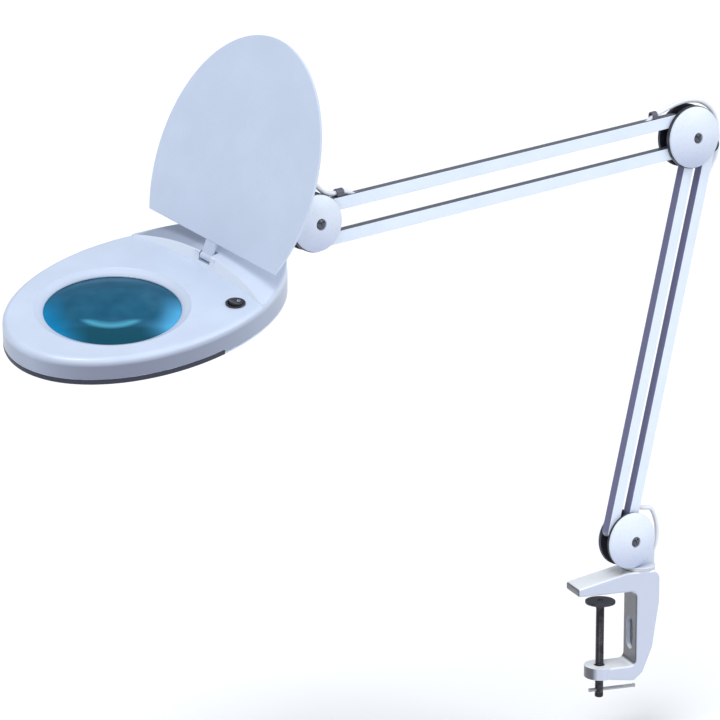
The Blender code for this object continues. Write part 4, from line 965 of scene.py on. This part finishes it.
def add_cables():
    loop = [(30.0, 26.0), (36.0, 16.0), (38.5, 5.0), (38.5, -5.0)]
    loop += [(36.2, -13.5), (31.0, -18.2), (25.0, -20.8)]
    stations = [(LOWER, (x, 0, z)) for x, z in EXIT_RUN] + [(BASE, (x, 0, z)) for x, z in loop]
    add_cable("base_cable", stations, [(0, 10, "lower_arm", "base")])
    loop = [(-25.5, 30.2), (-14.0, 33.4), (0.0, 34.8), (13.5, 32.8), (25.0, 26.5), (32.8, 16.5), (36.3, 4.0),
            (37.0, -9.0), (35.5, -22.0)]
    stations = [(UPPER, (-z, 0, x)) for x, z in EXIT_RUN] + [(ELBOW, (x, 0, z)) for x, z in loop]
    stations += [(LOWER, (x, 0, z)) for x, z in reversed(mirrored_run(EXIT_RUN, LOWER_LENGTH))]
    add_cable("elbow_cable", stations, [(0, 8, "upper_arm", "elbow"), (8, 16, "elbow", "lower_arm")])
    loop = [(15.0, 25.0), (8.3, 30.0), (2.6, 36.5), (0.0, 44.0)]
    loop += [(-0.8, 52.0), (-3.0, 62.0), (-10.0, 71.0), (-21.0, 75.0)]
    stations = [(UPPER, (-z, 0, x)) for x, z in mirrored_run(EXIT_RUN, UPPER_LENGTH)]
    stations.append((UPPER, (10.0 - UPPER_LENGTH, 0, 9.5)))
    stations += [(BRACKET, (x, 0, z)) for x, z in loop]
    stations += [(HEAD, (184.0, 10.0, 58.0)), (HEAD, (170.0, 16.0, 38.0)), (HEAD, (161.0, 17.0, 20.0))]
    stations.append((HEAD, (*CABLE_ENTRY, 7.5)))
    add_cable("head_cable", stations, [
        (0, 7, "upper_arm", "head_bracket"),
        (7, 10, "head_bracket", "neck_yoke"),
        (10, 12, "neck_yoke", "neck_clevis"),
        (12, 16, "neck_clevis", "head"),
    ])


# --- head ---


def add_neck():
    outline = arc((-YOKE_LENGTH, 0), 6.5, 50, 310, 32) + [(0, -5.0), (0, 5.0)]
    yoke = shape("tilt_yoke", prism(outline, -5.0, 5.0), [
        JOIN(rod(7.0, -5.0, 5.0, "y", steps=64)),
        CUT(rod(BOLT_HOLE_RADIUS, -10.0, 10.0, "y")),
        CUT(rod(PIN_HOLE_RADIUS, -10.0, 10.0, "z", (-YOKE_LENGTH, 0))),
    ], finish=(0.5, 3))
    place(yoke, "black_paint", TILT, "neck_yoke", ["neck_yoke"])
    outline = arc((0, 0), 7.0, -90, 90, 28) + [(-12.0, 7.0), (-12.0, -7.0)]
    profile = rounded([(0, -9.5), (5.0, -9.5), (5.0, -42.4), (8.0, -42.4), (8.0, -48.36), (0, -48.36)], 0.8)
    clevis = shape("swivel_clevis", prism(outline, -8.8, 8.8), [
        CUT(box((-8.5, -14.0, -5.3), (14.0, 14.0, 5.3))),
        CUT(rod(PIN_HOLE_RADIUS, -18.0, 18.0)),
        JOIN(turned(lathe(profile, 64), 90, "Y")),
    ], soft=(0.9, 3))
    place(clevis, "black_paint", EYE, "neck_clevis", ["neck_clevis"])
    profile = [(5.3, 160.0), (8.5, 160.0), (8.5, 182.95), (11.0, 182.95), (11.0, 184.5), (5.3, 184.5)]
    profile = rounded(profile, 0.4)
    bush = shape("twist_bush", turned(lathe(profile, 96, hollow=True), 90, "Y"))
    place(bush, "nylon", frame_of(HEAD, (0, 0, EYE_Z)), "head", ["neck_bush"])


def oval(inset, z, steps=192):
    points = arc((HEAD_X, 0), (HEAD_HALF_LENGTH - inset, HEAD_HALF_WIDTH - inset), 0, 360, steps)
    return [(x, y, z) for x, y in points[:-1]]


def hump(inset, sections=56):
    """The raised rear of the head, drawn in slices across it; an inset makes its hollow."""
    half_width = HUMP_HALF_WIDTH - 1.6 * inset
    length = HEAD_HALF_LENGTH - 0.5 - inset
    width = HEAD_HALF_WIDTH - 0.5 - inset
    rings = []
    for i in range(sections + 1):
        y = half_width * sin(pi * (i / sections - 0.5))
        front = HUMP_FRONT_X - HUMP_FRONT_SWEEP * y**2 + inset
        rear = HEAD_X + length * sqrt(1 - (y / width) ** 2)
        rise = HUMP_HEIGHT * (1 - (y / HUMP_HALF_WIDTH) ** 2)
        corner = min(4.0, 0.3 * (rear - front))
        ramp = min(3.0, 0.3 * (rear - front), 0.3 * rise + 0.01)
        brow = min(1.6, 0.15 * (rear - front), 0.4 * rise + 0.01)
        top = HEAD_TOP + rise - inset
        ring = [(front, y, HUMP_LOW), (front, y, HEAD_TOP - 0.2 - inset)]
        front += ramp
        for a in range(5):
            turn = radians(22.5 * a)
            ring.append((front + brow * (1 - cos(turn)), y, top - brow * (1 - sin(turn))))
        for step in range(1, 9):
            part = step / 8
            x = front + brow + part * (rear - corner - front - brow)
            ring.append((x, y, HEAD_TOP + rise * (1 - HUMP_FALL * part**2) - inset))
        edge = ring[-1][2]
        for a in range(1, 7):
            turn = radians(15 * a)
            ring.append((rear - corner * (1 - sin(turn)), y, edge - corner * (1 - cos(turn))))
        ring.append((rear, y, HUMP_LOW))
        rings.append(ring)
    return loft(rings)


def add_housing():
    rings = [oval(0, WALL_BOTTOM), oval(0, -10.0)]
    for inset, rise in arc((SHOULDER, 0), SHOULDER, 180, 90, 8):
        rings.append(oval(inset, HEAD_TOP - SHOULDER + rise))
    hollow = loft([oval(SHELL, WALL_BOTTOM - OVERRUN), oval(SHELL, HEAD_TOP - SHELL)])
    flare = rounded([(0, -6.9), (61.0, -6.9), (61.0, -2.2), (70.0, 2.0), (70.0, 6.0), (0, 6.0)], 1.2)
    cheeks = box((107.6, -13.0, 0.5), (121.5, 13.0, 12.5))
    corner = (HEAD_X - HEAD_HALF_LENGTH - OVERRUN, -110.0, -30.0)
    slab = box(corner, (SPLIT_X + GAP, 110.0, WALL_BOTTOM_FRONT))
    housing = shape("head_shell", loft(rings), [
        JOIN(hump(0)),
        CUT(hollow),
        CUT(hump(SHELL, 24)),
        JOIN(rod(72.0, -2.9, 1.0, steps=ROUND)),
        JOIN(rod(10.5, 158.0, 179.5, "x", (0, EYE_Z), 64)),
        JOIN(cheeks),
        CUT(lathe(flare)),
        CUT(box((99.0, -7.2, 5.2), (118.5, 7.2, 20.0))),
        CUT(rod(1.8, -12.7, 12.7, "y", (HINGE_X, HINGE_Z), 32)),
        CUT(rod(8.8, 154.0, 186.95, "x", (0, EYE_Z), 64)),
        CUT(rod(8.3, -4.0, 6.0, centre=(SWITCH_X, SWITCH_Y), steps=64)),
        CUT(rod(CABLE_HOLE_RADIUS, 4.0, 20.0, centre=CABLE_ENTRY)),
        CUT(slab),
    ])
    place(housing, "shell_plastic_and_shade", HEAD, "head", ["head_housing"], baked=True)


def add_underside():
    reach = 300.0
    lip = arc((1.6, UNDERSIDE + 1.6), 1.6, 270, 180, 6)
    for name, top, low, high, node, look in (
        ("bezel_ring", -18.3, (SPLIT_X - GAP / 2, -reach, -reach), (reach, reach, reach), "bottom_bezel",
         "navy_plastic"),
        ("under_cover", -21.0, (-reach, -reach, -reach), (SPLIT_X + GAP / 2, reach, reach), "rear_cover",
         "white_plastic"),
    ):
        rings = [oval(inset, z) for inset, z in lip] + [oval(0, top)]
        opening = rod(OPENING_RADIUS, -30.0, 4.0, steps=ROUND)
        cover = shape(name, loft(rings), [CUT(box(low, high)), CUT(opening)])
        place(cover, look, HEAD, "head", [node], baked=True)
    screws = ((120.0, 55.0), (120.0, -55.0), (150.0, 0.0), (58.0, 86.0), (58.0, -86.0))
    for number, (x, y) in enumerate(screws):
        profile = [(2.6, -23.4)] + arc((1.7, -23.4), (0.9, 0.9), 0, -80, 5) + [(0, -24.3)]
        screw = shape(f"under_screw_{number + 1}", lathe([(0, -22.9), (2.6, -22.9)] + profile, 40), [
            CUT(box((-2.0, -0.3, -25.0), (2.0, 0.3, -23.8))),
            CUT(box((-0.3, -2.0, -25.0), (0.3, 2.0, -23.8))),
        ])
        place(screw, "steel", frame_of(HEAD, (x, y, 0)), "head")


def add_optics():
    steps = 24
    profile = [(LENS_FLAT_RADIUS * i / steps, LENS_BOTTOM + 5.8 * (i / steps) ** 2) for i in range(steps + 1)]
    profile += [(63.3, -7.2), (LENS_RADIUS, -7.0), (LENS_RADIUS, -3.4), (63.3, -3.2)]
    for i in range(steps, -1, -1):
        profile.append((LENS_FLAT_RADIUS * i / steps, LENS_TOP - 6.2 * (i / steps) ** 2))
    lens = shape("lens_body", lathe(profile, 160))
    place(lens, "lens_glass", HEAD, "head", ["lens"])
    profile = [(63.8, -3.2), (66.0, -3.2), (66.0, -21.0), (63.8, -21.0)]
    profile += [(63.8, -9.0), (60.5, -9.0), (60.5, -7.5), (63.8, -7.5)]
    ring = shape("lens_holder", lathe(profile, 160, hollow=True), finish=(0.25, 2))
    place(ring, "black_plastic", HEAD, "head", ["lens_ring"])
    profile = [(66.3, -22.0), (87.5, -22.0), (87.5, -20.4), (66.3, -20.4)]
    diffuser = shape("light_diffuser", lathe(profile, 160, hollow=True), finish=(0.3, 2))
    place(diffuser, "clear_plastic", HEAD, "head", ["diffuser"], baked=True)


def add_lamp():
    rings = []
    steps = 120
    for i in range(steps + 1):
        angle = radians(LAMP_END_ANGLE + (360 - 2 * LAMP_END_ANGLE) * i / steps)
        thick = LAMP_TUBE_RADIUS if 0 < i < steps else LAMP_TUBE_RADIUS - 0.6
        section = circle((LAMP_RADIUS, LAMP_Z), thick, 28)
        rings.append([(radius * cos(angle), radius * sin(angle), z) for radius, z in section])
    tube = shape("ring_tube", loft(rings))
    place(tube, "lamp_glass", HEAD, "head", ["lamp_tube"], baked=True)
    socket = shape("ring_tube_socket", box((72.3, -6.2, -17.5), (86.0, 6.2, -1.5)), soft=(1.0, 3))
    place(socket, "white_plastic", HEAD, "head", ["tube_socket"])
    outline = [(66.3, -3.2), (69.1, -3.2), (69.1, -17.8), (78.0, -17.8), (78.0, -19.3), (66.3, -19.3)]
    for label, angle in (("left", 110.0), ("right", -110.0)):
        clip = shape(f"spring_clip_{label}", prism(outline, -4.0, 4.0, "y"), soft=(0.3, 2))
        place(clip, "steel", frame_of(HEAD, (0, 0, 0), (0, 0, angle)), "head", [f"tube_clip_{label}"])
    ballast = shape("ballast_block", box((95.0, -17.0, -19.0), (147.0, 17.0, -5.0)), soft=(0.8, 3))
    place(ballast, "ballast_steel", HEAD, "head", ["ballast"])


def add_switch():
    profile = [(0, -12.0), (8.0, -12.0), (8.0, 2.3), (9.0, 2.3)]
    profile = rounded(profile + [(9.0, 3.4), (7.0, 3.4), (7.0, -2.8), (0, -2.8)], 0.35)
    body = shape("switch_barrel", lathe(profile, 96))
    place(body, "black_plastic", frame_of(HEAD, (SWITCH_X, SWITCH_Y, 0)), "head", ["switch_body"])
    dish = rod(16.0, -12.0, 12.0, "y", (0, 18.4), 96)
    rocker = shape("switch_button", rod(6.3, -2.7, 3.2, steps=72), [CUT(dish)], finish=(0.3, 2))
    place(rocker, "black_plastic", ROCKER, "rocker", ["switch_rocker"])
    ring = rounded([(1.0, 0.0), (1.0, 0.16), (1.5, 0.16), (1.5, 0.0)], 0.05)
    mark = shape("switch_mark", lathe(ring, 40, hollow=True))
    place(mark, "white_plastic", frame_of(ROCKER, (3.3, 0, 2.68), (0, -11, 0)), "rocker")


def add_lid():
    half = LID_THICKNESS / 2
    edge = LID_EDGE
    levels = [(edge * (1 - sin(radians(a))), -half + edge * (1 - cos(radians(a)))) for a in range(0, 91, 15)]
    levels += [(inset, -z) for inset, z in reversed(levels)]
    rings = []
    for inset, z in levels:
        length = LID_LENGTH - inset
        start = 90 - asin((LID_BACK - inset - LID_CENTRE) / length) * 180 / pi
        outline = arc((LID_CENTRE, 0), (length, LID_HALF_WIDTH - inset), start, 360 - start, 144)
        rings.append([(x, y, LID_MIDDLE + z) for x, y in outline])
    lid = shape("lens_lid", loft(rings), [
        JOIN(box((-19.0, -6.5, -1.835), (0, 6.5, 0.6))),
        JOIN(rod(3.2, -6.5, 6.5, "y", steps=48)),
        JOIN(rod(1.5, -12.5, 12.5, "y", steps=32)),
    ])
    place(lid, "white_plastic", LID, "lid", ["lid"], baked=True)


# --- whole object ---


BASE_PIVOTS = [BASE_LEFT_PIVOT, BASE_RIGHT_PIVOT]
ELBOW_PIVOTS = [ELBOW_LEFT_PIVOT, ELBOW_RIGHT_PIVOT, ELBOW_TOP_PIVOT, ELBOW_BOTTOM_PIVOT]
HEAD_PIVOTS = [HEAD_TOP_PIVOT, HEAD_BOTTOM_PIVOT]
# Prefix, cover and plate radius, pivots, frame, body, and where the plate has a lug
JOINTS = (
    ("base", 28.0, 27.6, BASE_PIVOTS, BASE, "base", None),
    ("elbow", 30.0, 30.8, ELBOW_PIVOTS, ELBOW, "elbow", ELBOW_RIGHT_PIVOT),
    ("head", 26.5, 27.3, HEAD_PIVOTS, BRACKET, "head_bracket", None),
)


def add_stage():
    """Pale floor with a slow unevenness, far larger than the picture."""
    bm = bmesh.new()
    bmesh.ops.create_grid(bm, x_segments=60, y_segments=60, size=30.0)
    for vert in bm.verts:
        vert.co.z = 0.002 * sin(vert.co.x * 0.7) * cos(vert.co.y * 0.5)
    mesh = bpy.data.meshes.new("studio_floor")
    bm.to_mesh(mesh)
    bm.free()
    mesh.shade_smooth()
    floor = linked("studio_floor", mesh)
    floor.location = FLOOR_PLACE
    made = Shader("studio_floor")
    drift = made.ranged(made.noise(0.8, 2.0), 0.0, 1.0)
    made.link(made.mix(drift, (0.965, 0.97, 0.975), (0.98, 0.982, 0.985)), made.shader.inputs["Base Color"])
    made.link(made.ranged(made.noise(40.0, 2.0), 0.85, 0.95), made.shader.inputs["Roughness"])
    made.relief(made.noise(200.0, 2.0), 1e-4, 0.05, 0.0)
    floor.data.materials.append(made.material)


def add_sun(name, away, strength, spread, colour):
    """Soft light from far off; away points from the lamp to the light."""
    data = bpy.data.lights.new(name, "SUN")
    data.energy = strength
    data.angle = radians(spread)
    data.color = colour
    light = linked(name, data)
    light.location = Vector(away) * 3.0
    light.rotation_euler = (-Vector(away)).to_track_quat("-Z", "Y").to_euler()


def add_studio():
    world = bpy.data.worlds.new("studio_world")
    world.use_nodes = True
    background = world.node_tree.nodes["Background"]
    background.inputs["Color"].default_value = SKY
    background.inputs["Strength"].default_value = SKY_STRENGTH
    bpy.context.scene.world = world
    for sun in SUNS:
        add_sun(*sun)
    camera_data = bpy.data.cameras.new("camera")
    camera_data.lens = CAMERA_LENS
    camera_data.sensor_width = CAMERA_SENSOR
    camera = linked("camera", camera_data)
    camera.location = CAMERA_PLACE
    camera.rotation_euler = [radians(angle) for angle in CAMERA_TURN]
    bpy.context.scene.camera = camera
    bpy.context.scene.view_settings.view_transform = "Standard"


for sub_part in frame["record"]["subparts"]:
    wear_look(frame["nodes"][sub_part["node"]], sub_part["material_slot"])

add_clamp()
add_screw()
add_washer()
add_post()
for joint in JOINTS:
    add_joint(*joint)
add_arms()
add_cables()
add_neck()
add_housing()
add_underside()
add_optics()
add_lamp()
add_switch()
add_lid()
add_stage()
add_studio()
